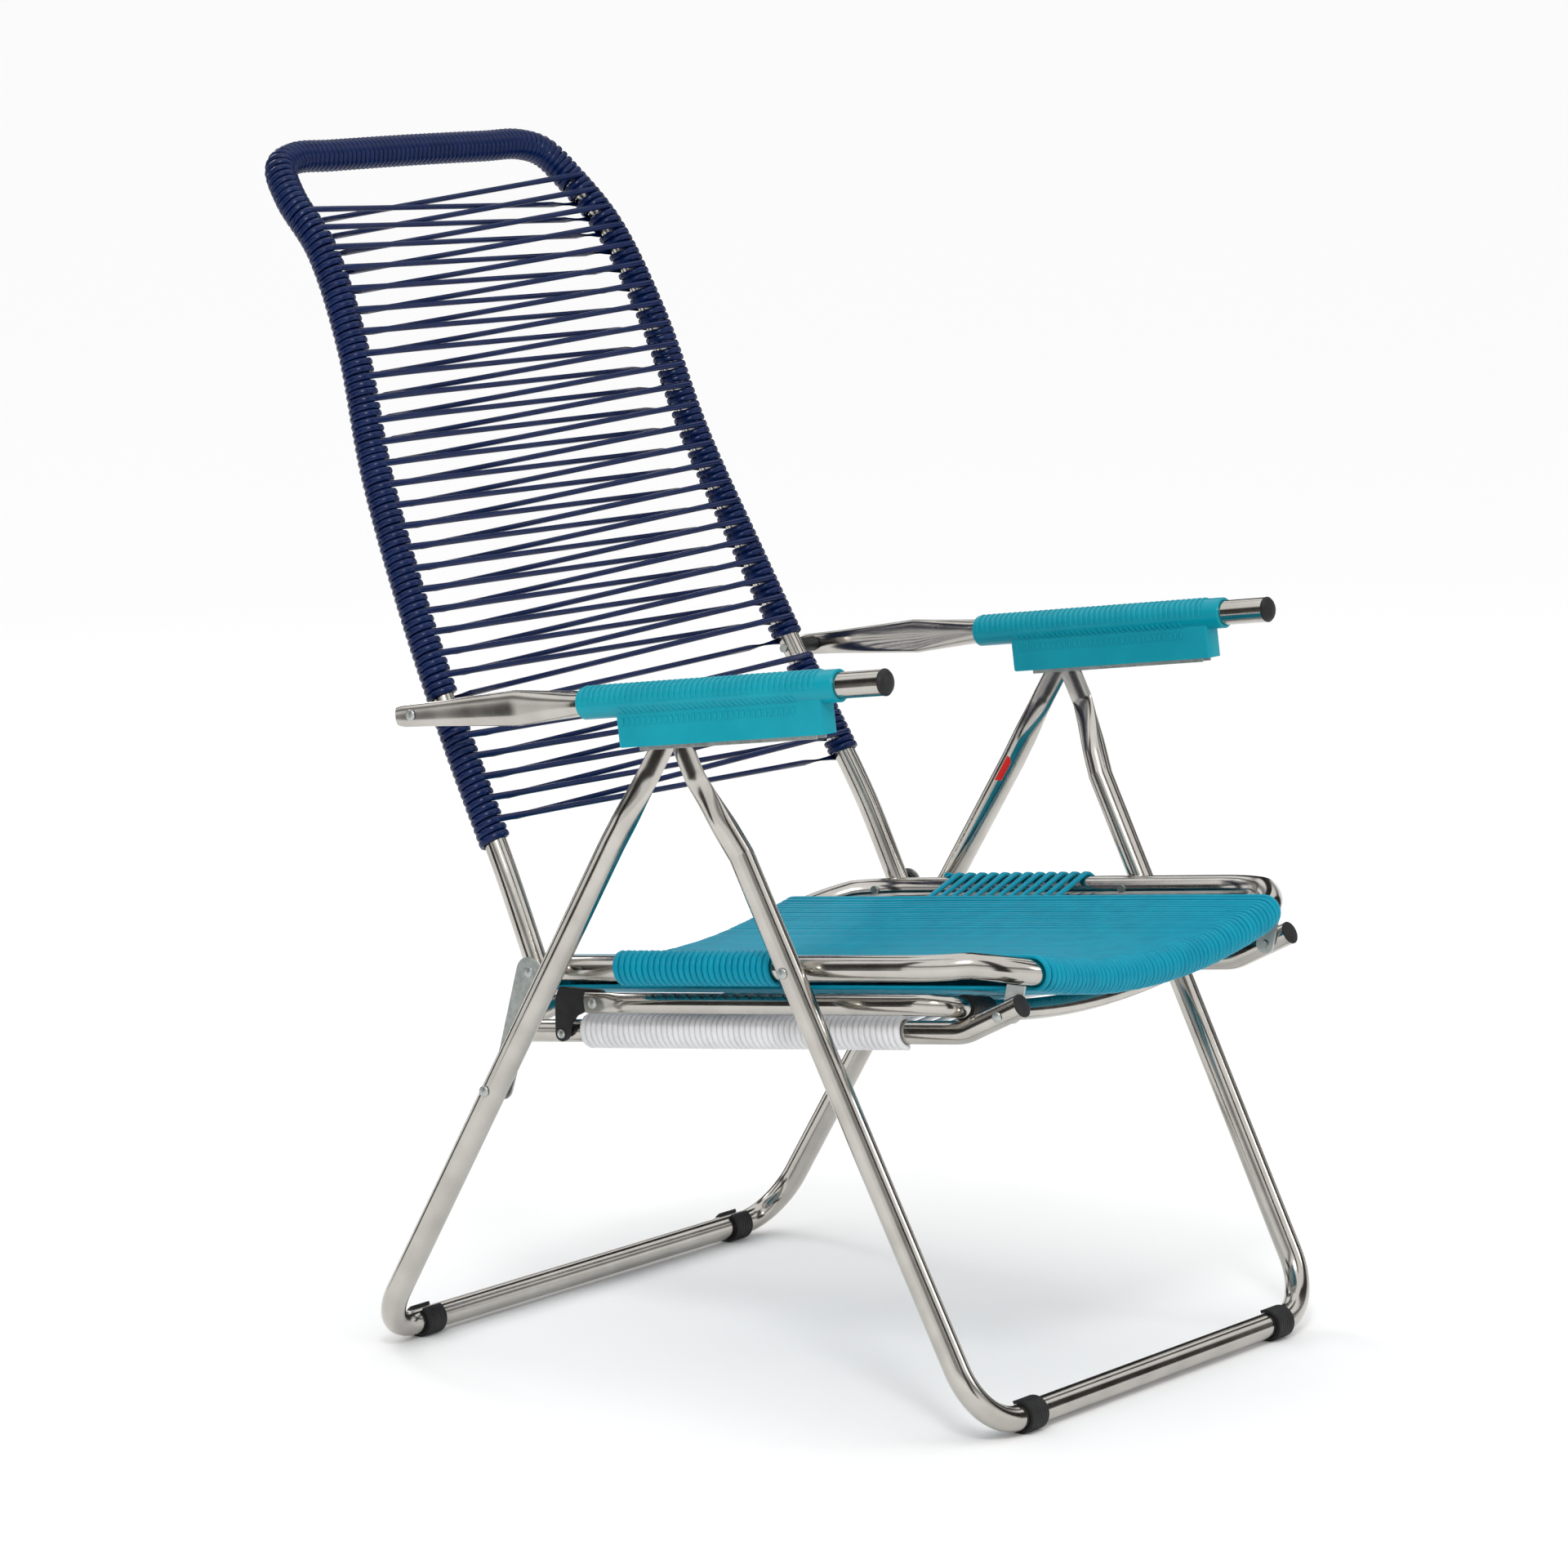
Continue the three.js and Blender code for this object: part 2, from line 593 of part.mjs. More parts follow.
// ---------- links from the backrest pivot to the rear legs ----------
const LINK_X = [286, 288];
function linkPlate() {
  const STEPS = 8;
  const TOP_R = 12;
  const FOOT_END_R = 10;
  const axis = Math.atan2(BACK_PIVOT[1] - LINK_FOOT[1], BACK_PIVOT[0] - LINK_FOOT[0]);
  const end = (at, radius, start) =>
    Array.from({ length: STEPS + 1 }, (_, i) => {
      const a = axis + start + (Math.PI * i) / STEPS;
      return [at[0] + radius * Math.cos(a), at[1] + radius * Math.sin(a)];
    });
  const outline = [...end(BACK_PIVOT, TOP_R, -Math.PI / 2), ...end(LINK_FOOT, FOOT_END_R, Math.PI / 2)];
  return plateX(outline, LINK_X[0], LINK_X[1], [
    { at: BACK_PIVOT, radius: RIVET_R + GAP },
    { at: LINK_FOOT, radius: RIVET_R + GAP },
  ]);
}
addPair("link_plate", linkPlate(), "zinc");
addPair(
  "link_spacer",
  sleeveX(BACK_PIVOT, backHoleX + BACK_R + GAP, LINK_X[0] - GAP, 9, RIVET_R + GAP),
  "black",
);
addPair(
  "back_rivet",
  rivet(BACK_PIVOT, backRailX - LEG_R - RAIL_SLANT, LINK_X[1] + GAP, 5, 0.9),
  "zinc",
);

// ---------- armrests ----------
// Everything on an armrest is drawn level, with the tube's axis through the origin, and tilted.
const ARM_TILT = Math.atan(ARM_SLOPE);
const onArm = (y) => (y - ARM_FRONT[0]) / Math.cos(ARM_TILT); // distance along the tube
function placeOnArm(geometry) {
  geometry.rotateX(ARM_TILT);
  return geometry.translate(ARM_X, ARM_FRONT[0], ARM_FRONT[1]);
}
const armLength = onArm(ARM_PIVOT[0]) + ARM_TAIL;

// Half height and half thickness of the tube along its length: round, then pressed tall and thin.
const ARM_SECTIONS = [
  [0, 11, 11],
  [onArm(COVER[1]) + 4, 11, 11],
  [onArm(425), 13.2, 8],
  [onArm(456), 15.4, 5.6],
  [onArm(500), 13, 4.6],
  [onArm(545), 10.6, ARM_TAIL_HALF],
  [armLength, 9.2, ARM_TAIL_HALF],
];
function armTube() {
  const geometry = tube(
    ARM_SECTIONS.map(([d]) => vec(0, d, 0)),
    LEG_R,
    LEG_R - WALL,
  );
  const position = geometry.attributes.position;
  for (let i = 0; i < position.count; i++) {
    const section = ARM_SECTIONS.find(([d]) => Math.abs(d - position.getY(i)) < 0.5);
    position.setX(i, (position.getX(i) * section[2]) / LEG_R);
    position.setZ(i, (position.getZ(i) * section[1]) / LEG_R);
  }
  const placed = placeOnArm(geometry);
  return subtract(placed, pinX(ARM_PIVOT, RIVET_R + GAP, ARM_X - 20, ARM_X + 20));
}
addPair("armrest_tube", armTube(), "metal");

// Moulded grip: a sleeve on the tube with a hollow box under it, open below for the legs.
function armCover() {
  const BOX_WALL = 2.4;
  const sleeve = tube([vec(0, onArm(COVER[0]), 0), vec(0, onArm(COVER[1]), 0)], COVER_R);
  const box = boxAt(-BOX_HALF, BOX_HALF, onArm(BOX[0]), onArm(BOX[1]), -BOX_DEPTH, 0);
  const bore = tube([vec(0, onArm(COVER[0]) - 5, 0), vec(0, onArm(COVER[1]) + 5, 0)], LEG_R + GAP);
  const inside = boxAt(
    BOX_WALL - BOX_HALF,
    BOX_HALF - BOX_WALL,
    onArm(BOX[0]) + BOX_WALL,
    onArm(BOX[1]) - BOX_WALL,
    -BOX_DEPTH - 5,
    -LEG_R,
  );
  return placeOnArm(subtract(join(sleeve, box), bore, inside));
}
addPair("armrest_cover", armCover(), "turquoise");

// Steel channel inside the box, open below and at both ends, where the legs' top pin locks.
function rack() {
  const PLATE_T = 1.5;
  const HALF = 7.2;
  const PIN_ROOM = 32; // the web stops this far before the pin, so that the leg tips can turn
  const [y0, y1] = RACK.map(onArm);
  const top = -LEG_R - 0.8;
  const body = boxAt(-HALF, HALF, y0, y1, -RACK_DEPTH, top);
  const slot = boxAt(PLATE_T - HALF, HALF - PLATE_T, y0 - 5, y1 + 5, -RACK_DEPTH - 5, top - PLATE_T);
  const window = boxAt(PLATE_T - HALF, HALF - PLATE_T, onArm(TOP[0]) - PIN_ROOM, y1 + 5, -RACK_DEPTH, top + 5);
  return placeOnArm(subtract(body, slot, window));
}
addPair("armrest_rack", rack(), "zinc");

// Plug in the front end of a tube: a stem with a domed head, turned about +Y at the origin.
function plug(stemR, headR, headT, stemL) {
  const profile = [
    [stemL, 0],
    [stemL, stemR],
    [-GAP, stemR],
    [-GAP, headR],
    [-headT * 0.6, headR * 0.86],
    [-headT, headR * 0.45],
    [-headT * 1.1, 0],
  ];
  const points = profile.map(([y, r]) => new THREE.Vector2(r, y));
  return new THREE.LatheGeometry(points, SIDES);
}
const BORE_CLEAR = Math.cos(Math.PI / BORE_SIDES); // an eight-sided bore is narrower across its flats
addPair("armrest_cap", placeOnArm(plug((LEG_R - WALL) * BORE_CLEAR - GAP, LEG_R + 0.4, 7, 14)), "black");
addPair("arm_rivet", rivet(ARM_PIVOT, armHoleX - BACK_R - GAP, ARM_X + ARM_TAIL_HALF + GAP), "zinc");

// ---------- footrest ----------
const REST_SLOPE = -0.111;
const REST_BEND = [55, 332.9];
const restZ = (y) => REST_BEND[1] + REST_SLOPE * (y - REST_BEND[0]);
const REST_REAR_Y = 541;
const REST_BOW = 20; // rise of the rear bar in its middle
const REST_CORDS = [113, 446];
const REST_WOUND_R = 15.4;
const REST_TIP = [-0.5, 361.6]; // front end of the side tubes

function footrestPath() {
  const BAR_STEPS = 6;
  const reach = FOOTREST_X - 40;
  const rear = vec(FOOTREST_X, REST_REAR_Y, restZ(REST_REAR_Y));
  const side = filleted(
    [
      vec(FOOTREST_X, REST_TIP[0], REST_TIP[1]),
      vec(FOOTREST_X, REST_BEND[0], REST_BEND[1]),
      rear,
      vec(0, rear.y, rear.z),
    ],
    [40, 36],
    4,
  ).slice(0, -1);
  const bar = Array.from({ length: BAR_STEPS - 1 }, (_, i) =>
    vec(reach * (1 - (2 * (i + 1)) / BAR_STEPS), rear.y, rear.z),
  );
  const all = [...side, ...bar, ...side.slice().reverse().map(mirrorX)];
  return all.map((p) => {
    const rise = p.y > REST_REAR_Y - 36 ? sag(p.x, REST_BOW, FOOTREST_X) : 0;
    return vec(p.x, p.y, p.z + rise);
  });
}
add(
  "footrest_frame",
  subtract(
    tube(footrestPath(), BACK_R, BACK_R - WALL),
    ...holePair(LUG_PIVOT, FOOTREST_X - 20, FOOTREST_X + 20),
  ),
  "metal",
);
addPair(
  "lug_rivet",
  rivet(LUG_PIVOT, FOOTREST_X - BACK_R - 3.5 - GAP, FOOTREST_X + BACK_R + GAP, 4.5, 2),
  "zinc",
);

const restTilt = Math.atan2(REST_TIP[1] - REST_BEND[1], REST_BEND[0] - REST_TIP[0]);
function footrestCap() {
  const cap = plug((BACK_R - WALL) * BORE_CLEAR - GAP, BACK_R + 0.2, 2.2, 5);
  cap.rotateX(-restTilt);
  return cap.translate(FOOTREST_X, REST_TIP[0], REST_TIP[1]);
}
addPair("footrest_cap", footrestCap(), "black");

const restStations = (x) => REST_CORDS.map((y) => vec(x, y, restZ(y)));
addPair(
  "footrest_winding",
  tube(restStations(FOOTREST_X), REST_WOUND_R, sleeveBore(BACK_R), SIDES, SIDES),
  "white",
);
function footrestCords() {
  const HALF_T = 2.5;
  const [y0, y1] = [REST_CORDS[0] + 4, REST_CORDS[1] - 4];
  const outline = [
    [y0, restZ(y0) - HALF_T],
    [y1, restZ(y1) - HALF_T],
    [y1, restZ(y1) + HALF_T],
    [y0, restZ(y0) + HALF_T],
  ];
  const reach = FOOTREST_X - REST_WOUND_R - 0.5;
  return plateX(outline, -reach, reach);
}
add("footrest_cords", footrestCords(), "white");

// Plastic bracket on the outside of the side tube, which carries the footrest's leg.
const BRACKET_FOOT = [463, 287.2];
const BRACKET_X = [FOOTREST_X + BACK_R + 0.4, FOOTREST_X + BACK_R + 6];
function bracket() {
  const outline = [
    [BRACKET_FOOT[0] - 6, BRACKET_FOOT[1] - 5],
    [BRACKET_FOOT[0], BRACKET_FOOT[1] - 7],
    [BRACKET_FOOT[0] + 6, BRACKET_FOOT[1] - 5],
    [BRACKET_FOOT[0] + 7.5, BRACKET_FOOT[1] + 4],
    [BRACKET_FOOT[0] + 5, BRACKET_FOOT[1] + 37],
    [PROP_PIVOT[0] + 12, PROP_PIVOT[1] + 12],
    [PROP_PIVOT[0] - 6, PROP_PIVOT[1] + 11],
    [PROP_PIVOT[0] - 10, PROP_PIVOT[1] + 2],
    [PROP_PIVOT[0] - 7, PROP_PIVOT[1] - 8],
    [PROP_PIVOT[0] + 12, PROP_PIVOT[1] - 9],
    [BRACKET_FOOT[0] - 9, BRACKET_FOOT[1] + 12],
  ];
  return plateX(outline, BRACKET_X[0], BRACKET_X[1]);
}
addPair("prop_bracket", bracket(), "black");

// The footrest's own leg: a U of thinner tube lying on top of the footrest.
const PROP_BAR = [62, 358];
const PROP_SAG = 28;
function propPath() {
  const CORNER = 28;
  const BAR_STEPS = 6;
  const reach = PROP_X - CORNER;
  const side = filleted(
    [vec(PROP_X, PROP_PIVOT[0] + 9, PROP_PIVOT[1] - 1), vec(PROP_X, ...PROP_BAR), vec(0, ...PROP_BAR)],
    [CORNER],
    4,
  ).slice(0, -1);
  const bar = Array.from({ length: BAR_STEPS - 1 }, (_, i) =>
    vec(reach * (1 - (2 * (i + 1)) / BAR_STEPS), ...PROP_BAR),
  );
  const all = [...side, ...bar, ...side.slice().reverse().map(mirrorX)];
  return all.map((p) => {
    const drop = p.y < PROP_BAR[0] + CORNER ? sag(p.x, PROP_SAG, PROP_X) : 0;
    return vec(p.x, p.y, p.z - drop);
  });
}
function propFrame() {
  const FLAT_FROM = PROP_PIVOT[0] - 24;
  const geometry = tube(propPath(), PROP_R, PROP_R - WALL);
  const position = geometry.attributes.position;
  for (let i = 0; i < position.count; i++) {
    if (position.getY(i) < FLAT_FROM) continue;
    const side = Math.sign(position.getX(i));
    const centre = side * (BRACKET_X[1] + 0.4 + 3.5);
    position.setX(i, centre + (position.getX(i) - side * PROP_X) * (3.5 / PROP_R));
  }
  return geometry;
}
add("prop_frame", propFrame(), "metal");

function propFoot() {
  const x = 192;
  const z = PROP_BAR[1] - sag(x, PROP_SAG, PROP_X);
  const slope = (-2 * PROP_SAG * x) / PROP_X ** 2;
  const CLEAR = 1.2; // room for the bar's bow inside the clip
  const clipPiece = footClip([0, 0], PROP_R + CLEAR, PROP_R + 2.9, 0, 20, Math.PI / 2);
  clipPiece.rotateY(slope);
  return clipPiece.translate(x, PROP_BAR[0], z);
}
addPair("prop_foot", propFoot(), "black");

export default chair;
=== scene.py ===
"""Folding beach chair: bent steel tubes laced with plastic cord, moulded grips and a stowed footrest.

Sizes are in millimetres in the classes and become metres in the meshes. The sitter faces -Y.
"""
import logging
import math
import random
from dataclasses import dataclass
from enum import Enum
from typing import Callable, Iterable, Sequence

import bmesh
import bpy
from mathutils import Matrix, Vector


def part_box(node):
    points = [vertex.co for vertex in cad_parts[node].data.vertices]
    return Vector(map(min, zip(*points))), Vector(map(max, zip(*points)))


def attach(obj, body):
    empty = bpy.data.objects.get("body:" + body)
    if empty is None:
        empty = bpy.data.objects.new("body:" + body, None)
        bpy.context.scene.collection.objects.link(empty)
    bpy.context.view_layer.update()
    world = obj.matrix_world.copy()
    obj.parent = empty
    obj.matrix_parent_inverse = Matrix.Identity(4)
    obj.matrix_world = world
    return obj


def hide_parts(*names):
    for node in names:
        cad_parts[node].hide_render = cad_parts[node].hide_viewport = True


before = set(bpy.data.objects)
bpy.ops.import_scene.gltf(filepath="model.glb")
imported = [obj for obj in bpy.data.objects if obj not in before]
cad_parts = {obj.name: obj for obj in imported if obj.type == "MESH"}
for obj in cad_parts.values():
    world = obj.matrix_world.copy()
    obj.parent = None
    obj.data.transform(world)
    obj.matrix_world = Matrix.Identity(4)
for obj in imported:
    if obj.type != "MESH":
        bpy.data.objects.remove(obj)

LOG = logging.getLogger("beach_chair")
MM = 0.001
LENGTH_OFFSET = 405.95  # the front crossbar's distance ahead of the chair's middle
FOOT_Z = 14.0  # height of the crossbars' axes
REAR_FOOT_Y = 613.2  # the rear crossbar, from the front one
REAR_FOOT_X, REAR_TOP_X = 297.5, 307.0  # half width of the rear legs, below and above
Station = tuple[Vector, Vector, float, float]
Stations = list[Station]


class Side(Enum):
    """Side of the chair, as the sign of its X coordinate."""

    LEFT = -1
    RIGHT = 1

    @property
    def tag(self) -> str:
        """Ending of the CAD nodes' names on this side."""
        return "L" if self is Side.LEFT else "R"


# ---------- where the pivots are ----------
def mm(x: float, y: float, z: float) -> Vector:
    """A point of the chair's own millimetre frame, whose y starts at the front crossbar."""
    return Vector((x, y - LENGTH_OFFSET, z))


def pivot(node: str) -> tuple[float, float]:
    """Axis of a pin or rivet that lies along X.

    Args:
        node: name of the CAD node.
    Returns:
        (y, z) in the chair's millimetre frame.
    """
    low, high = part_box(node)
    middle = (low + high) / 2 / MM
    return middle.y + LENGTH_OFFSET, middle.z


TOP = pivot("top_pin_R")
SEAT_PIVOT = pivot("seat_rivet_R")
BACK_PIVOT = pivot("back_rivet_R")
LINK_FOOT = pivot("link_rivet_R")
ARM_PIVOT = pivot("arm_rivet_R")
LUG_PIVOT = pivot("lug_rivet_R")


# ---------- finishes ----------
@dataclass(frozen=True)
class Finish:
    """A procedural finish: two mottled colours, uneven gloss and a fine relief.

    Attributes:
        name: the start of the material's name.
        colour: main colour, linear RGB.
        shade: second colour of the mottling.
        roughness: lowest and highest roughness.
        metallic: 1 for bare metal.
        patch: size of the mottled patches, in metres.
        grain: size of the relief's grain, in metres.
        relief: depth of the relief, in metres.
        shine: strength of the mirror-like part of a plastic's gloss.
    """

    name: str
    colour: tuple[float, float, float]
    shade: tuple[float, float, float]
    roughness: tuple[float, float]
    metallic: float = 0.0
    patch: float = 0.02
    grain: float = 0.0006
    relief: float = 0.00002
    shine: float = 0.3

    def material(self) -> bpy.types.Material:
        """Makes the material, or gives back the one already made.

        Returns:
            The material, named after the finish.
        """
        made = bpy.data.materials.get(self.name + "_finish")
        if made:
            return made
        made = bpy.data.materials.new(self.name + "_finish")
        made.use_nodes = True
        nodes, links = made.node_tree.nodes, made.node_tree.links
        shader = nodes["Principled BSDF"]
        shader.inputs["Metallic"].default_value = self.metallic
        shader.inputs["Specular IOR Level"].default_value = self.shine
        place = nodes.new("ShaderNodeTexCoord")

        patches = nodes.new("ShaderNodeTexNoise")
        patches.inputs["Scale"].default_value = 1 / self.patch
        patches.inputs["Detail"].default_value = 4
        links.new(place.outputs["Object"], patches.inputs["Vector"])
        ramp = nodes.new("ShaderNodeValToRGB")
        ramp.color_ramp.elements[0].position = 0.3
        ramp.color_ramp.elements[0].color = (*self.shade, 1)
        ramp.color_ramp.elements[1].position = 0.7
        ramp.color_ramp.elements[1].color = (*self.colour, 1)
        links.new(patches.outputs["Fac"], ramp.inputs["Fac"])
        links.new(ramp.outputs["Color"], shader.inputs["Base Color"])

        grains = nodes.new("ShaderNodeTexNoise")
        grains.inputs["Scale"].default_value = 1 / self.grain
        grains.inputs["Detail"].default_value = 3
        links.new(place.outputs["Object"], grains.inputs["Vector"])
        gloss = nodes.new("ShaderNodeMapRange")
        gloss.inputs["To Min"].default_value, gloss.inputs["To Max"].default_value = self.roughness
        links.new(patches.outputs["Fac"], gloss.inputs["Value"])
        links.new(gloss.outputs["Result"], shader.inputs["Roughness"])
        bump = nodes.new("ShaderNodeBump")
        bump.inputs["Strength"].default_value = 0.6
        bump.inputs["Distance"].default_value = self.relief
        links.new(grains.outputs["Fac"], bump.inputs["Height"])
        links.new(bump.outputs["Normal"], shader.inputs["Normal"])
        return made


@dataclass(frozen=True)
class CordFinish(Finish):
    """Extruded plastic cord: fine lines run along it, read from the piece's own UV map."""

    lines: int = 14

    def material(self) -> bpy.types.Material:
        """Adds the extrusion lines to the plain finish.

        Returns:
            The material, with the lines as a second relief.
        """
        made = bpy.data.materials.get(self.name + "_finish")
        if made:
            return made
        made = super().material()
        nodes, links = made.node_tree.nodes, made.node_tree.links
        around = nodes.new("ShaderNodeUVMap")
        around.uv_map = "Cord"
        split = nodes.new("ShaderNodeSeparateXYZ")
        links.new(around.outputs["UV"], split.inputs["Vector"])
        turns = nodes.new("ShaderNodeMath")
        turns.operation = "MULTIPLY"
        turns.inputs[1].default_value = 2 * math.pi * self.lines
        links.new(split.outputs["X"], turns.inputs[0])
        wave = nodes.new("ShaderNodeMath")
        wave.operation = "SINE"
        links.new(turns.outputs["Value"], wave.inputs[0])
        first = next(n for n in nodes if n.bl_idname == "ShaderNodeBump")
        second = nodes.new("ShaderNodeBump")
        second.inputs["Strength"].default_value = 0.35
        second.inputs["Distance"].default_value = 0.00006
        links.new(wave.outputs["Value"], second.inputs["Height"])
        links.new(first.outputs["Normal"], second.inputs["Normal"])
        links.new(second.outputs["Normal"], nodes["Principled BSDF"].inputs["Normal"])
        return made


METAL = Finish(
    "metal", (0.55, 0.525, 0.49), (0.45, 0.43, 0.395), (0.1, 0.22),
    metallic=1.0, patch=0.035, grain=0.0009, relief=0.00001,
)
ZINC = Finish(
    "zinc", (0.5, 0.52, 0.5), (0.36, 0.4, 0.39), (0.28, 0.45),
    metallic=1.0, patch=0.006, grain=0.0007, relief=0.00003,
)
BLACK = Finish(
    "black", (0.009, 0.009, 0.01), (0.016, 0.016, 0.017), (0.4, 0.55),
    patch=0.01, grain=0.0005, relief=0.00004,
)
GRIP = Finish("grip", (0.0, 0.3, 0.38), (0.0, 0.265, 0.345), (0.26, 0.38), patch=0.03, shine=0.22)
NAVY = CordFinish("navy", (0.0, 0.011, 0.07), (0.0, 0.008, 0.054), (0.2, 0.3), grain=0.0005, shine=0.26)
TURQUOISE = CordFinish(
    "turquoise", (0.0, 0.28, 0.4), (0.0, 0.235, 0.35), (0.3, 0.42), grain=0.0005, shine=0.14
)
WHITE = CordFinish("white", (0.76, 0.76, 0.775), (0.68, 0.68, 0.695), (0.35, 0.5), grain=0.0005)
MARK = Finish(
    "mark", (0.75, 0.02, 0.01), (0.65, 0.015, 0.01), (0.3, 0.4), patch=0.01, grain=0.0004, relief=0.00001
)


# ---------- making meshes ----------
def only(piece: bpy.types.Object) -> None:
    """Selects this object alone and makes it active.

    Args:
        piece: the object.
    """
    bpy.ops.object.select_all(action="DESELECT")
    piece.select_set(True)
    bpy.context.view_layer.objects.active = piece


def cleaned(piece: bpy.types.Object, angle: float = 35.0) -> bpy.types.Object:
    """Merges doubles, turns the faces outwards and shades the piece smooth by angle.

    Args:
        piece: the mesh object.
        angle: edges sharper than this, in degrees, stay sharp.
    Returns:
        The same piece.
    """
    only(piece)
    bpy.ops.object.mode_set(mode="EDIT")
    bpy.ops.mesh.select_all(action="SELECT")
    bpy.ops.mesh.remove_doubles(threshold=1e-6)
    bpy.ops.mesh.normals_make_consistent(inside=False)
    bpy.ops.object.mode_set(mode="OBJECT")
    bpy.ops.object.shade_smooth_by_angle(angle=math.radians(angle))
    return piece


def linked(name: str, mesh: bpy.types.Mesh) -> bpy.types.Object:
    """A new object in the scene that shows this mesh.

    Args:
        name: the object's name.
        mesh: what it shows.
    Returns:
        The object.
    """
    piece = bpy.data.objects.new(name, mesh)
    bpy.context.scene.collection.objects.link(piece)
    return piece


def finished(piece: bpy.types.Object, finish: Finish, body: str, *nodes: str) -> bpy.types.Object:
    """Dresses a piece, puts it on its body and lets it stand for CAD nodes.

    Args:
        piece: the mesh object, in place.
        finish: what it is made of.
        body: the CAD body it moves with.
        nodes: CAD nodes it replaces.
    Returns:
        The same piece.
    """
    piece.data.materials.clear()
    piece.data.materials.append(finish.material())
    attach(piece, body)
    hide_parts(*nodes)
    LOG.info("%s: %d faces on %s", piece.name, len(piece.data.polygons), body)
    return piece


def tube(name: str, points: Sequence[Vector], radius: float, resolution: int = 14) -> bpy.types.Object:
    """A round bar along a line of points, with closed ends.

    Args:
        name: the piece's name.
        points: the axis, in millimetres.
        radius: outer radius, in millimetres.
        resolution: smoothness of the section.
    Returns:
        The mesh object.
    """
    curve = bpy.data.curves.new(name, "CURVE")
    curve.dimensions = "3D"
    curve.bevel_depth = radius * MM
    curve.bevel_resolution = resolution
    curve.use_fill_caps = True
    spline = curve.splines.new("POLY")
    spline.points.add(len(points) - 1)
    for place, point in zip(spline.points, points):
        place.co = (*(point * MM), 1)
    piece = linked(name, curve)
    only(piece)
    bpy.ops.object.convert(target="MESH")
    return cleaned(bpy.context.view_layer.objects.active)


def swept(name: str, runs: Iterable[Stations], sides: int = 8) -> bpy.types.Object:
    """Cord with an oval section, kept flat on what it is wound on.

    Args:
        name: the piece's name.
        runs: each a list of (point, surface normal, half width, half thickness) in millimetres.
        sides: facets round the cord.
    Returns:
        The mesh object, with a UV map named Cord: round the cord, and along it in metres.
    """
    shape = bmesh.new()
    layer = shape.loops.layers.uv.new("Cord")
    for stations in runs:
        points = [s[0] for s in stations]
        last = len(points) - 1
        rings, lengths, travelled = [], [], 0.0
        for i, (point, normal, width, thick) in enumerate(stations):
            ahead = (points[min(i + 1, last)] - points[max(i - 1, 0)]).normalized()
            flat = (normal - ahead * normal.dot(ahead)).normalized()
            across = ahead.cross(flat)
            if i:
                travelled += (point - points[i - 1]).length * MM
            lengths.append(travelled)
            rings.append([
                shape.verts.new((point + flat * (thick * math.cos(a)) + across * (width * math.sin(a))) * MM)
                for a in (2 * math.pi * k / sides for k in range(sides))
            ])
        for i in range(last):
            for k in range(sides):
                near, far = rings[i], rings[i + 1]
                face = shape.faces.new((near[k], near[(k + 1) % sides], far[(k + 1) % sides], far[k]))
                face.smooth = True
                corners = ((k, i), (k + 1, i), (k + 1, i + 1), (k, i + 1))
                for loop, (turn, row) in zip(face.loops, corners):
                    loop[layer].uv = (turn / sides, lengths[row])
        shape.faces.new(rings[0][::-1])
        shape.faces.new(rings[-1])
    bmesh.ops.recalc_face_normals(shape, faces=shape.faces)
    mesh = bpy.data.meshes.new(name)
    shape.to_mesh(mesh)
    shape.free()
    return linked(name, mesh)


def spun(
    name: str, places: Sequence[Vector], centre: Vector, axis: tuple[int, int, int], steps: int
) -> bpy.types.Object:
    """Spins a line of points once round an axis.

    Args:
        name: the piece's name.
        places: the line, in metres.
        centre: a point on the axis, in metres.
        axis: the axis' direction.
        steps: facets round it.
    Returns:
        The mesh object.
    """
    mesh = bpy.data.meshes.new(name)
    mesh.from_pydata(places, [(i, i + 1) for i in range(len(places) - 1)], [])
    piece = linked(name, mesh)
    only(piece)
    bpy.ops.object.mode_set(mode="EDIT")
    bpy.ops.mesh.select_all(action="SELECT")
    bpy.ops.mesh.spin(steps=steps, angle=2 * math.pi, center=centre, axis=axis, use_auto_merge=True)
    bpy.ops.object.mode_set(mode="OBJECT")
    return cleaned(piece)


def dome(x: float, height: float, radius: float, steps: int) -> list[tuple[float, float]]:
    """Profile of a dome from its rim at x to its crown, as (x, radius) pairs without the rim."""
    turns = (math.pi / 2 * k / steps for k in range(1, steps + 1))
    return [(x + height * math.sin(a), radius * math.cos(a)) for a in turns]


def length_of(stations: Stations) -> float:
    """Length of a cord's path, in metres."""
    return sum((b[0] - a[0]).length for a, b in zip(stations, stations[1:])) * MM


def turned(
    name: str, profile: Sequence[tuple[float, float]], at: tuple[float, float], steps: int
) -> bpy.types.Object:
    """A piece turned on an axis along X.

    Args:
        name: the piece's name.
        profile: (x, radius) pairs, in millimetres, closed on the axis or on themselves.
        at: the axis, as (y, z).
        steps: facets round it.
    Returns:
        The mesh object.
    """
    places = [mm(x, at[0], at[1] + r) * MM for x, r in profile]
    return spun(name, places, mm(0, *at) * MM, (1, 0, 0), steps)


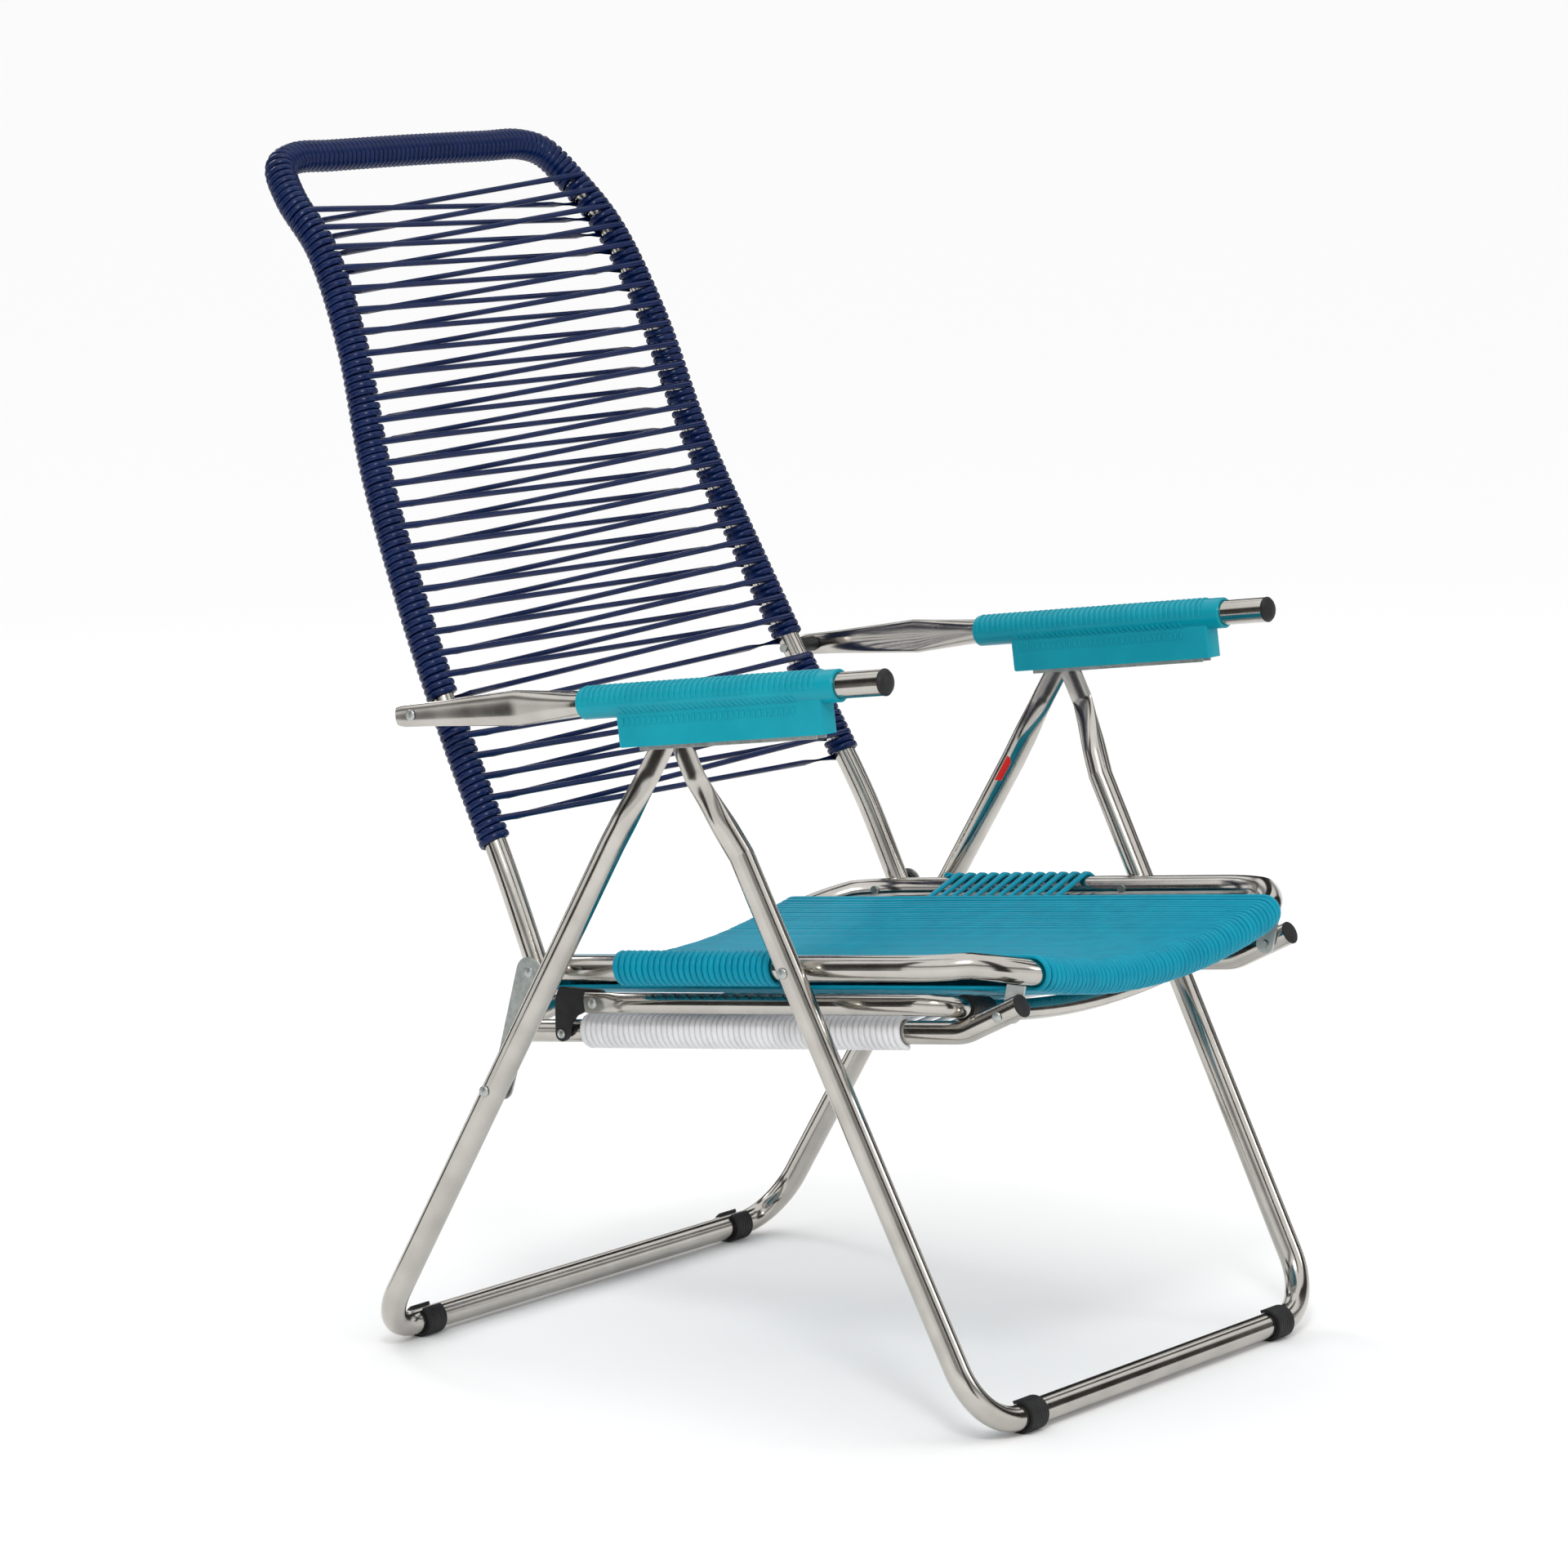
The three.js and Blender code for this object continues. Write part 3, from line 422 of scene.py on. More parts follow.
def plate(
    name: str, outline: Sequence[tuple[float, float]], x0: float, x1: float, edge: float = 0.4
) -> bpy.types.Object:
    """A flat piece with rounded edges, drawn in the YZ plane.

    Args:
        name: the piece's name.
        outline: (y, z) pairs, in millimetres.
        x0: its inner face.
        x1: its outer face.
        edge: radius of its edges.
    Returns:
        The mesh object.
    """
    mesh = bpy.data.meshes.new(name)
    places = [mm(x0, y, z) * MM for y, z in outline]
    mesh.from_pydata(places, [], [tuple(range(len(places)))])
    piece = linked(name, mesh)
    only(piece)
    bpy.ops.object.mode_set(mode="EDIT")
    bpy.ops.mesh.select_all(action="SELECT")
    bpy.ops.mesh.extrude_region_move(TRANSFORM_OT_translate={"value": ((x1 - x0) * MM, 0, 0)})
    bpy.ops.object.mode_set(mode="OBJECT")
    cleaned(piece)
    rounded(piece, edge)
    return piece


def rounded(piece: bpy.types.Object, radius: float) -> None:
    """Rounds a piece's sharp edges and applies the result.

    Args:
        piece: the mesh object.
        radius: width of the rounding, in millimetres.
    """
    bevel = piece.modifiers.new("edges", "BEVEL")
    bevel.width = radius * MM
    bevel.segments = 2
    bevel.limit_method = "ANGLE"
    bevel.angle_limit = math.radians(40)
    only(piece)
    bpy.ops.object.modifier_apply(modifier=bevel.name)
    bpy.ops.object.shade_smooth_by_angle(angle=math.radians(35))


def joined(first: bpy.types.Object, *others: bpy.types.Object) -> bpy.types.Object:
    """Several meshes as one piece, under the first one's name.

    Args:
        first: the mesh that stays.
        others: the meshes that go into it.
    Returns:
        The first one.
    """
    bpy.ops.object.select_all(action="DESELECT")
    for piece in (*others, first):
        piece.select_set(True)
    bpy.context.view_layer.objects.active = first
    bpy.ops.object.join()
    return first


def moved(piece: bpy.types.Object, matrix: Matrix) -> bpy.types.Object:
    """Moves the mesh itself, so that the object stays at the origin.

    Args:
        piece: the mesh object.
        matrix: the move, in metres.
    Returns:
        The same piece.
    """
    piece.data.transform(matrix)
    piece.data.update()
    if matrix.determinant() < 0:
        piece.data.flip_normals()
    return piece


def filleted(points: Sequence[Vector], radii: Sequence[float], steps: int = 12) -> list[Vector]:
    """Rounds each inner corner of a line of points.

    Args:
        points: the corners and both ends.
        radii: one bend radius for each inner corner.
        steps: chords in each bend.
    Returns:
        The rounded line.
    """
    line = [points[0]]
    for before, corner, after, radius in zip(points, points[1:], points[2:], radii):
        back, ahead = (before - corner).normalized(), (after - corner).normalized()
        half = back.angle(ahead) / 2
        centre = corner + (back + ahead).normalized() * (radius / math.sin(half))
        start = corner + back * (radius / math.tan(half)) - centre
        end = corner + ahead * (radius / math.tan(half)) - centre
        sweep = start.angle(end)
        line += [
            centre + (start * math.sin(sweep - turn) + end * math.sin(turn)) / math.sin(sweep)
            for turn in (sweep * k / steps for k in range(steps + 1))
        ]
    return line + [points[-1]]


def both_sides(half: Sequence[Vector]) -> list[Vector]:
    """A whole U from its right half, which ends in the middle of the crossbar."""
    return list(half) + [Vector((-p.x, p.y, p.z)) for p in reversed(half[:-1])]


def drop(x: float, depth: float, half: float) -> float:
    """How far a bowed bar hangs at x, for a bow of this depth and half width."""
    return depth * max(0.0, 1 - (x / half) ** 2)


# ---------- legs ----------
@dataclass
class LegFrame:
    """One U of leg tube with pressed, narrowed tops, and its two foot clips.

    Attributes:
        name: the CAD node of the tube.
        body: the CAD body of the frame.
        foot_y: where the crossbar is.
        bottom_x: half width at the crossbar's height.
        top_x: half width at the pivot, if the legs ran straight.
        tab_x: half width of the pressed tab at the pivot.
        corner: bend radius of the two lower corners.
        clip_x: middle of a foot clip.
        clip_turn: where round the bar its slot is, in radians.
        pressed: distance below the pivot where the tube is pressed flat.
        round_from: distance where it is fully round.
        lean_from: distance where it starts to lean to the tab.
        flat: thickness of the pressed tab.
        tip: how far the tab reaches over the pivot.
        tip_narrow: width of the tab's end, as a share of its full width.
        tip_length: distance below the pivot where the tab has its full width.
    """

    name: str
    body: str
    foot_y: float
    bottom_x: float
    top_x: float
    tab_x: float
    corner: float
    clip_x: float
    clip_turn: float
    radius: float = 11.0
    foot_z: float = FOOT_Z
    pressed: float = 46.0
    round_from: float = 96.0
    lean_from: float = 118.0
    flat: float = 4.4
    tip: float = 8.0
    tip_narrow: float = 0.5
    tip_length: float = 16.0
    clip_length: float = 24.0
    clip_radius: float = 14.4

    def build(self) -> None:
        """Makes the tube and the clips."""
        self.build_tube()
        for side in Side:
            self.build_clip(side)

    def axis(self) -> tuple[Vector, Vector, float]:
        """Top pivot, unit direction down the leg, and the leg's length."""
        top, foot = mm(0, *TOP), mm(0, self.foot_y, self.foot_z)
        return top, (foot - top).normalized(), (foot - top).length

    def build_tube(self) -> None:
        """Bends the tube, then presses its two tops flat."""
        top, down, length = self.axis()
        lean_x = self.top_x + (self.bottom_x - self.top_x) * self.lean_from / length

        def centre_x(distance: float) -> float:
            """Half width of the tube's axis at a distance below the pivot.

            Args:
                distance: along the leg, in millimetres.
            Returns:
                The half width, in millimetres.
            """
            if distance > self.lean_from:
                below = (distance - self.lean_from) / (length - self.lean_from)
                return lean_x + (self.bottom_x - lean_x) * below
            share = min((self.lean_from - distance) / (self.lean_from - self.pressed), 1)
            return lean_x + (self.tab_x - lean_x) * share

        side, steps = [], 48
        for k in range(steps + 1):
            distance = -self.tip + (self.lean_from + self.tip) * k / steps
            point = top + down * distance
            side.append(Vector((centre_x(distance), point.y, point.z)))
        foot = mm(self.bottom_x, self.foot_y, self.foot_z)
        bend = filleted([side[-1], foot, mm(0, self.foot_y, self.foot_z)], [self.corner], 16)
        piece = tube(self.name + "_tube", both_sides(side[:-1] + bend), self.radius)
        for vertex in piece.data.vertices:
            place = vertex.co / MM
            distance = (place - top).dot(down)
            if distance > self.round_from:
                continue
            press = min(max((self.round_from - distance) / (self.round_from - self.pressed), 0), 1)
            press = press * press * (3 - 2 * press)
            hand = math.copysign(1, place.x)
            middle = hand * centre_x(distance)
            thin = 1 + (self.flat / (2 * self.radius) - 1) * press
            across = place - top - down * distance
            across.x = 0
            widening = (distance + self.tip) / (self.tip_length + self.tip)
            place = place + across * (min(1.0, self.tip_narrow + (1 - self.tip_narrow) * widening) - 1)
            place.x = middle + (place.x - middle) * thin
            vertex.co = place * MM
        finished(cleaned(piece, 40), METAL, self.body, self.name)

    def build_clip(self, side: Side) -> None:
        """A split ring of ribbed plastic snapped on the crossbar.

        Args:
            side: which side of the chair.
        """
        ribs, opening, steps, groove_depth = 7, 0.45, 40, 0.75
        inner = self.radius + 0.3
        half = self.clip_length / 2
        count = ribs * 4
        shape = bmesh.new()
        rings = []
        for i in range(count + 1):
            x = side.value * self.clip_x - half + self.clip_length * i / count
            groove = groove_depth * (1 - abs(math.cos(math.pi * i * ribs / count)))
            outer = self.clip_radius - groove
            ring = []
            for radius in (outer, inner):
                row = []
                for k in range(steps + 1):
                    a = self.clip_turn + opening + (2 * math.pi - 2 * opening) * k / steps
                    z = max(0.0, self.foot_z + radius * math.sin(a))
                    row.append(shape.verts.new(mm(x, self.foot_y + radius * math.cos(a), z) * MM))
                ring.append(row)
            rings.append(ring)
        for near, far in zip(rings, rings[1:]):
            for k in range(steps):
                shape.faces.new((near[0][k], near[0][k + 1], far[0][k + 1], far[0][k]))
                shape.faces.new((near[1][k], far[1][k], far[1][k + 1], near[1][k + 1]))
            for k in (0, steps):
                shape.faces.new((near[0][k], far[0][k], far[1][k], near[1][k]))
        for ring in (rings[0], rings[-1]):
            for k in range(steps):
                shape.faces.new((ring[0][k], ring[0][k + 1], ring[1][k + 1], ring[1][k]))
        bmesh.ops.recalc_face_normals(shape, faces=shape.faces)
        mesh = bpy.data.meshes.new(self.name)
        shape.to_mesh(mesh)
        shape.free()
        node = self.body.replace("_legs", "_foot_") + side.tag
        piece = cleaned(linked(node + "_clip", mesh), 50)
        finished(piece, BLACK, self.body, node)


# ---------- rivets, spacers, plates ----------
@dataclass
class Hardware:
    """Rivets, pins, spacers, lugs and links at the chair's pivots."""

    RIVETS = (
        ("seat_rivet_", SEAT_PIVOT, "front_legs"),
        ("link_rivet_", LINK_FOOT, "rear_legs"),
        ("back_rivet_", BACK_PIVOT, "back_pivots"),
        ("arm_rivet_", ARM_PIVOT, "arm_pivots"),
        ("lug_rivet_", LUG_PIVOT, "footrest"),
    )
    SPACERS = (
        ("back_spacer_", BACK_PIVOT, "back_pivots"),
        ("link_spacer_", BACK_PIVOT, "back_pivots"),
        ("arm_spacer_", ARM_PIVOT, "arm_pivots"),
    )

    def build(self) -> None:
        """Makes every fastener on both sides."""
        for side in Side:
            for stem, at, body in self.RIVETS:
                self.rivet(stem, at, body, side)
            for stem, at, body in self.SPACERS:
                self.spacer(stem, at, body, side)
            self.pin(side)
            self.link(side)
            self.lug(side)

    def span(self, node: str) -> tuple[float, float, float]:
        """Inner end, outer end and radius of a turned CAD node, in millimetres.

        Args:
            node: its name.
        Returns:
            The three sizes.
        """
        low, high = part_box(node)
        ends = sorted((abs(low.x), abs(high.x)))
        return ends[0] / MM, ends[1] / MM, (high.z - low.z) / 2 / MM

    def rivet(self, stem: str, at: tuple[float, float], body: str, side: Side) -> None:
        """A rivet with a domed head outside and an upset tail inside.

        Args:
            stem: the CAD node's name without its side.
            at: the axis, as (y, z).
            body: the CAD body it moves with.
            side: which side of the chair.
        """
        node = stem + side.tag
        inner, outer, radius = self.span(node)
        rim = outer - 2.0
        profile = [(inner, 0), (inner, radius - 1.2), (inner + 1.4, radius - 1), (inner + 1.4, 3)]
        profile += [(rim, 3), (rim, radius)] + dome(rim, 2.0, radius, 8)
        piece = turned(node + "_steel", [(x * side.value, r) for x, r in profile], at, 28)
        finished(piece, ZINC, body, node)

    def spacer(self, stem: str, at: tuple[float, float], body: str, side: Side) -> None:
        """A plastic sleeve round a rivet, with softened rims.

        Args:
            stem: the CAD node's name without its side.
            at: the axis, as (y, z).
            body: the CAD body it moves with.
            side: which side of the chair.
        """
        node = stem + side.tag
        inner, outer, radius = self.span(node)
        bore, soft = 3.3, 0.5
        profile = [
            (inner, bore), (inner, radius - soft), (inner + soft, radius), (outer - soft, radius),
            (outer, radius - soft), (outer, bore), (inner, bore),
        ]
        piece = turned(node + "_sleeve", [(x * side.value, r) for x, r in profile], at, 28)
        finished(piece, BLACK, body, node)

    def pin(self, side: Side) -> None:
        """The pin that holds both leg tops in the rack.

        Args:
            side: which side of the chair.
        """
        node = "top_pin_" + side.tag
        inner, outer, radius = self.span(node)
        soft = 0.6
        profile = [
            (inner, 0), (inner, radius - soft), (inner + soft, radius),
            (outer - soft, radius), (outer, radius - soft), (outer, 0),
        ]
        piece = turned(node + "_steel", [(x * side.value, r) for x, r in profile], TOP, 24)
        finished(piece, ZINC, "front_legs", node)

    def link(self, side: Side) -> None:
        """Pressed link from the backrest's pivot to the rear leg, with a folded rear edge.

        Args:
            side: which side of the chair.
        """
        node = "link_plate_" + side.tag
        top, foot, steps = 13.0, 11.0, 12
        axis = math.atan2(BACK_PIVOT[1] - LINK_FOOT[1], BACK_PIVOT[0] - LINK_FOOT[0])
        ends = ((BACK_PIVOT, top, axis - math.pi / 2), (LINK_FOOT, foot, axis + math.pi / 2))
        outline = [
            (at[0] + r * math.cos(a), at[1] + r * math.sin(a))
            for at, r, start in ends
            for a in (start + math.pi * i / steps for i in range(steps + 1))
        ]
        low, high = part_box(node)
        inner, outer = sorted((low.x / MM, high.x / MM))
        piece = plate(node + "_steel", outline, inner, outer, 0.5)
        along = Vector((0, BACK_PIVOT[0] - LINK_FOOT[0], BACK_PIVOT[1] - LINK_FOOT[1])).normalized()
        rear = Vector((0, along.z, -along.y))
        start = mm((inner + outer) / 2, *LINK_FOOT) + rear * (foot - 0.8)
        end = mm((inner + outer) / 2, *BACK_PIVOT) + rear * (top - 0.8)
        inward = Vector((-side.value, 0, 0))
        flange = swept(
            node + "_flange",
            [[(start + (end - start) * t + inward * 1.4, rear, 2.0, 0.9) for t in (0.04, 0.3, 0.6, 0.96)]],
            10,
        )
        finished(joined(piece, flange), ZINC, "links", node)

    def lug(self, side: Side) -> None:
        """Ear welded under the seat's front bar, which carries the footrest.

        Args:
            side: which side of the chair.
        """
        node = "footrest_lug_" + side.tag
        low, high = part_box(node)
        inner, outer = sorted((low.x / MM, high.x / MM))
        radius, ring_y = 9.0, 12.0
        outline = [
            (LUG_PIVOT[0] + radius * math.cos(a), LUG_PIVOT[1] + radius * math.sin(a))
            for a in (math.pi + math.pi * i / 14 for i in range(15))
        ]
        top = high.z / MM
        outline += [(ring_y + radius, top), (ring_y - radius, top)]
        finished(plate(node + "_steel", outline, inner, outer, 0.5), ZINC, "seat", node)


# ---------- lacing between two rails ----------
@dataclass
class Lacing:
    """One cord that winds round two rails in turn and crosses between them.

    Attributes:
        rail: gives (point, direction) at a distance along the left rail.
        up: rough direction of the panel's front.
        start: distance where the lacing begins.
        pitch: distance from one group of turns to the next.
        groups: how many groups each rail holds.
        turns: half turns in a group, on the left and the right rail.
        tube_r: radius of the rail.
        wide: half width of the wound cord.
        thick: half thickness of the wound cord.
        strand: half width and half thickness of the cord between the rails.
        lift: gap between the wound cord and the rail.
        skip: stretch that stays bare, as (from, to).
        advance: distance along the rail that one full turn takes.
        steps: stations in one full turn.
        route: gives a crossing strand's height at a point of the straight line.
    """

    rail: Callable[[float], tuple[Vector, Vector]]
    up: Vector
    start: float
    pitch: float
    groups: int
    turns: tuple[int, int] = (5, 5)
    tube_r: float = 10.0
    wide: float = 3.15
    thick: float = 2.15
    strand: float = 2.6
    lift: float = 0.15
    skip: tuple[float, float] = (0.0, 0.0)
    advance: float = 6.45
    steps: int = 16
    route: Callable[[Vector], float] | None = None

    def section(self, side: Side, distance: float) -> tuple[Vector, Vector, Vector]:
        """Rail centre, outward direction and front direction on one side.

        Args:
            side: which side of the chair.
            distance: along the rail.
        Returns:
            The three vectors.
        """
        point, along = self.rail(distance)
        front = (self.up - along * self.up.dot(along)).normalized()
        out = front.cross(along)
        if side is Side.RIGHT:
            point, out, front = (Vector((-v.x, v.y, v.z)) for v in (point, out, front))
        return point, out, front

    def wound(self, side: Side, distance: float, turn: float) -> Station:
        """Station of the cord at an angle round the rail.

        Args:
            side: which side of the chair.
            distance: along the rail.
            turn: the angle, from straight out, in radians.
        Returns:
            The station.
        """
        centre, out, front = self.section(side, distance)
        normal = out * math.cos(turn) + front * math.sin(turn)
        reach = self.tube_r + self.thick + self.lift
        return centre + normal * reach, normal, self.wide, self.thick

    def group(self, side: Side, distance: float, half_turns: int) -> Stations:
        """One group of turns, from behind the rail round its outside to its front.

        Args:
            side: which side of the chair.
            distance: where it starts on the rail.
            half_turns: how many half turns it has.
        Returns:
            Its stations.
        """
        count = half_turns * self.steps // 2
        return [
            self.wound(
                side,
                distance + self.advance * half_turns / 2 * k / count,
                -math.pi / 2 + math.pi * half_turns * k / count,
            )
            for k in range(count + 1)
        ]

    def crossing(self, start: Station, end: Station) -> Stations:
        """The free strand between two groups.

        Args:
            start: last station of the group it leaves.
            end: first station of the group it reaches.
        Returns:
            Its stations.
        """
        parts, borrowed, widening = 10, 0.01, 0.4
        stations = []
        for k in range(1, parts):
            t = k / parts
            point = start[0].lerp(end[0], t)
            if self.route:
                point = Vector((point.x, point.y, self.route(point)))
            normal = start[1].lerp(end[1], t)
            if normal.length < 0.3:
                normal = self.up
            width = self.strand
            if k in (1, parts - 1):
                width += (self.wide - self.strand) * widening
            stations.append((point, self.up + normal * borrowed, width, self.strand))
        return stations

    def distances(self, offset: float) -> list[float]:
        """Where each group starts on a rail, with the bare stretch left out.

        Args:
            offset: how much later than on the left rail.
        Returns:
            The distances along the rail.
        """
        places, at = [], self.start + offset
        for _ in range(self.groups):
            if self.skip[0] < at + self.pitch * 0.7 and at < self.skip[1]:
                at = self.skip[1]
            places.append(at)
            at += self.pitch
        return places

    def path(self) -> Stations:
        """The whole laced cord as one run of stations.

        Returns:
            The stations, from the first turn to the last.
        """
        left = self.distances(0.0)
        right = self.distances(self.advance * self.turns[0] / 2)
        stations: Stations = []
        for near, far in zip(left, right):
            first = self.group(Side.LEFT, near, self.turns[0])
            if stations:
                stations += self.crossing(stations[-1], first[0])
            stations += first
            second = self.group(Side.RIGHT, far, self.turns[1])
            stations += self.crossing(stations[-1], second[0]) + second
        return stations


# ---------- backrest ----------
@dataclass
class Backrest:
    """Bent backrest tube and the cord laced across it."""

    radius: float = 10.0
    wrap_from: float = 455.0
    lace_to: float = 978.0
    groups: int = 29
    bare: float = 8.5
    wrap_pitch: float = 6.3

    SIDE = (
        (273.5, 446, 338), (272.8, 454.5, 353), (269.5, 491, 430), (260, 552, 540), (248.5, 609, 650),
        (233.5, 661, 760), (218.5, 700, 870), (208, 742, 950), (202, 782, 993), (189, 804, 1018),
        (162, 811, 1026), (110, 811.5, 1026.5), (0, 811.5, 1027),
    )

    def __post_init__(self) -> None:
        """Samples the tube's axis from the left foot over the top to the right foot."""
        half = [mm(-x, y, z) for x, y, z in self.SIDE]
        control = half + [Vector((-p.x, p.y, p.z)) for p in reversed(half[:-1])]
        self.line = self.smooth(control, 24)
        self.lengths = [0.0]
        for a, b in zip(self.line, self.line[1:]):
            self.lengths.append(self.lengths[-1] + (b - a).length)
        self.total = self.lengths[-1]

    @staticmethod
    def smooth(control: Sequence[Vector], steps: int) -> list[Vector]:
        """A centripetal spline through the control points.

        Args:
            control: the points.
            steps: chords between two of them.
        Returns:
            The smooth line.
        """
        ends = [control[0] * 2 - control[1], *control, control[-1] * 2 - control[-2]]
        line = []
        for p0, p1, p2, p3 in zip(ends, ends[1:], ends[2:], ends[3:]):
            knots = [0.0]
            for a, b in ((p0, p1), (p1, p2), (p2, p3)):
                knots.append(knots[-1] + math.sqrt((b - a).length))
            k0, k1, k2, k3 = knots
            for i in range(steps):
                t = k1 + (k2 - k1) * i / steps
                a1 = p0 * ((k1 - t) / (k1 - k0)) + p1 * ((t - k0) / (k1 - k0))
                a2 = p1 * ((k2 - t) / (k2 - k1)) + p2 * ((t - k1) / (k2 - k1))
                a3 = p2 * ((k3 - t) / (k3 - k2)) + p3 * ((t - k2) / (k3 - k2))
                b1 = a1 * ((k2 - t) / (k2 - k0)) + a2 * ((t - k0) / (k2 - k0))
                b2 = a2 * ((k3 - t) / (k3 - k1)) + a3 * ((t - k1) / (k3 - k1))
                line.append(b1 * ((k2 - t) / (k2 - k1)) + b2 * ((t - k1) / (k2 - k1)))
        return line + [control[-1]]

    def at(self, distance: float) -> tuple[Vector, Vector]:
        """Point and direction at a distance along the tube.

        Args:
            distance: in millimetres, from the left foot.
        Returns:
            The point and the unit direction.
        """
        distance = min(max(distance, 0.0), self.total - 1e-6)
        low, high = 0, len(self.lengths) - 1
        while high - low > 1:
            middle = (low + high) // 2
            if self.lengths[middle] <= distance:
                low = middle
            else:
                high = middle
        share = (distance - self.lengths[low]) / (self.lengths[high] - self.lengths[low])
        before = self.line[max(low - 1, 0)]
        after = self.line[min(high + 1, len(self.line) - 1)]
        return self.line[low].lerp(self.line[high], share), (after - before).normalized()

    def distance_at(self, z: float) -> float:
        """Distance along the left side where the tube reaches a height.

        Args:
            z: the height.
        Returns:
            The distance, in millimetres.
        """
        for point, length in zip(self.line, self.lengths):
            if point.z >= z:
                return length
        return self.total / 2

    def build(self) -> None:
        """Makes the tube and its one long cord."""
        piece = tube("backrest_frame_tube", self.line, self.radius)
        finished(piece, METAL, "backrest", "backrest_frame")
        start = self.distance_at(self.wrap_from)
        hole = self.distance_at(ARM_PIVOT[1])
        end = self.distance_at(self.lace_to)
        front = Vector((0, -0.884, 0.468))
        bare = (hole - self.bare, hole + self.bare)
        pitch = (end - start - 2 * self.bare) / self.groups
        lacing = Lacing(self.at, front, start, pitch, self.groups, tube_r=self.radius, skip=bare)
        stations = lacing.path()
        first = lacing.distances(0.0)[-1] + pitch
        last = self.total - lacing.distances(lacing.advance * 2.5)[-1] - lacing.advance * 2.9
        turns = round((last - first) / self.wrap_pitch)
        wraps = []
        for k in range(turns * 16 + 1):
            distance = first + (last - first) * k / (turns * 16)
            wraps.append(lacing.wound(Side.LEFT, distance, -math.pi / 2 + 2 * math.pi * k / 16))
        stations += lacing.crossing(stations[-1], wraps[0]) + wraps
        cord = swept("backrest_cord", [stations])
        LOG.info("backrest cord: %.1f m", length_of(stations))
        nodes = ["back_winding_top", "back_cords", "back_winding_low_L", "back_winding_low_R"]
        finished(cord, NAVY, "backrest", *nodes)


# ---------- seat ----------
@dataclass
class Seat:
    """Seat ring with bowed end bars, its lengthwise cords and the band across them."""

    radius: float = 11.0
    half_width: float = 249.0
    front_y: float = 4.0
    rear_y: float = 512.0
    corner: float = 85.0
    front_z: float = 397.9
    slope: float = -0.108
    sag: float = 35.0
    sag_half: float = 232.0
    cord_reach: float = 186.0
    cord_pitch: float = 6.2
    wide: float = 3.05
    thick: float = 2.15

    def z(self, y: float) -> float:
        """Height of the ring's plane."""
        return self.front_z + self.slope * y

    def ring(self) -> list[Vector]:
        """Axis of the ring, as a closed line.

        Returns:
            Its points, in order and without a repeat of the first.
        """
        plan: list[tuple[float, float]] = []
        reach = self.half_width - self.corner
        centres = (
            (reach, self.front_y + self.corner, -math.pi / 2),
            (reach, self.rear_y - self.corner, 0.0),
            (-reach, self.rear_y - self.corner, math.pi / 2),
            (-reach, self.front_y + self.corner, math.pi),
        )
        for index, (cx, cy, start) in enumerate(centres):
            for i in range(25):
                a = start + math.pi / 2 * i / 24
                plan.append((cx + self.corner * math.cos(a), cy + self.corner * math.sin(a)))
            if index % 2:
                end_x, y = plan[-1]
                plan += [(end_x * (1 - 2 * i / 24), y) for i in range(1, 24)]
        line = []
        for x, y in plan:
            on_bar = y < self.front_y + self.corner or y > self.rear_y - self.corner
            line.append(mm(x, y, self.z(y) - (drop(x, self.sag, self.sag_half) if on_bar else 0)))
        return line

    def build(self) -> None:
        """Makes the ring and both layers of cord."""
        line = self.ring()
        start = len(line) // 2 + 14
        line = line[start:] + line[:start]
        piece = tube("seat_frame_tube", line + line[:1], self.radius)
        finished(piece, METAL, "seat", "seat_frame")
        self.build_long_cords()
        self.build_cross_cords()

    def build_long_cords(self) -> None:
        """One cord looped over both end bars, each loop beside the last."""
        loops = int(2 * self.cord_reach / self.cord_pitch)
        uneven = random.Random(11)
        reach = self.radius + self.thick + 0.25
        stations: Stations = []
        for j in range(loops):
            x = -self.cord_reach + self.cord_pitch * (j + 0.5) + uneven.uniform(-0.35, 0.35)
            inset = 0.0
            over = abs(x) - (self.half_width - self.corner)
            if over > 0:
                inset = self.corner - math.sqrt(self.corner ** 2 - over ** 2)
            low = drop(x, self.sag, self.sag_half) + uneven.uniform(-0.4, 0.1)
            ends = ((self.rear_y - inset, 1), (self.front_y + inset, -1))
            lean = -2 * x * self.sag / self.sag_half ** 2
            for y, hand in ends:
                for k in range(13):
                    a = -math.pi / 2 + math.pi * k / 12
                    normal = Vector((0, hand * math.cos(a), hand * math.sin(a)))
                    shift = self.cord_pitch * (k / 12 - 0.5) * (0.5 if hand == 1 else 0.3)
                    centre = mm(x + shift, y, self.z(y) - low + lean * shift * -1)
                    stations.append((centre + normal * reach, normal, self.wide, self.thick))
                if hand == 1:
                    self.straight(stations, x, low, reach, 1)
            if j < loops - 1:
                self.straight(stations, x, low, reach, -1)
        cord = swept("seat_long_cords", [stations])
        LOG.info("seat cord: %.1f m", length_of(stations))
        finished(cord, TURQUOISE, "seat", "seat_cords")

    def straight(self, stations: Stations, x: float, low: float, reach: float, layer: int) -> None:
        """Adds the run between the bars, above or below them.

        Args:
            stations: the cord so far, which gets longer.
            x: the loop's place across the seat.
            low: how far the bars hang there.
            reach: from a bar's axis to the cord's.
            layer: 1 above the bars, -1 below them.
        """
        for k in range(1, 6):
            share = k / 6 if layer == 1 else 1 - k / 6
            y = self.rear_y + (self.front_y - self.rear_y) * share
            shift = 0.0 if layer == 1 else self.cord_pitch * (1 - share) * 0.5
            point = mm(x + shift, y, self.z(y) - low + layer * reach)
            stations.append((point, Vector((0, 0, layer)), self.wide, self.thick))

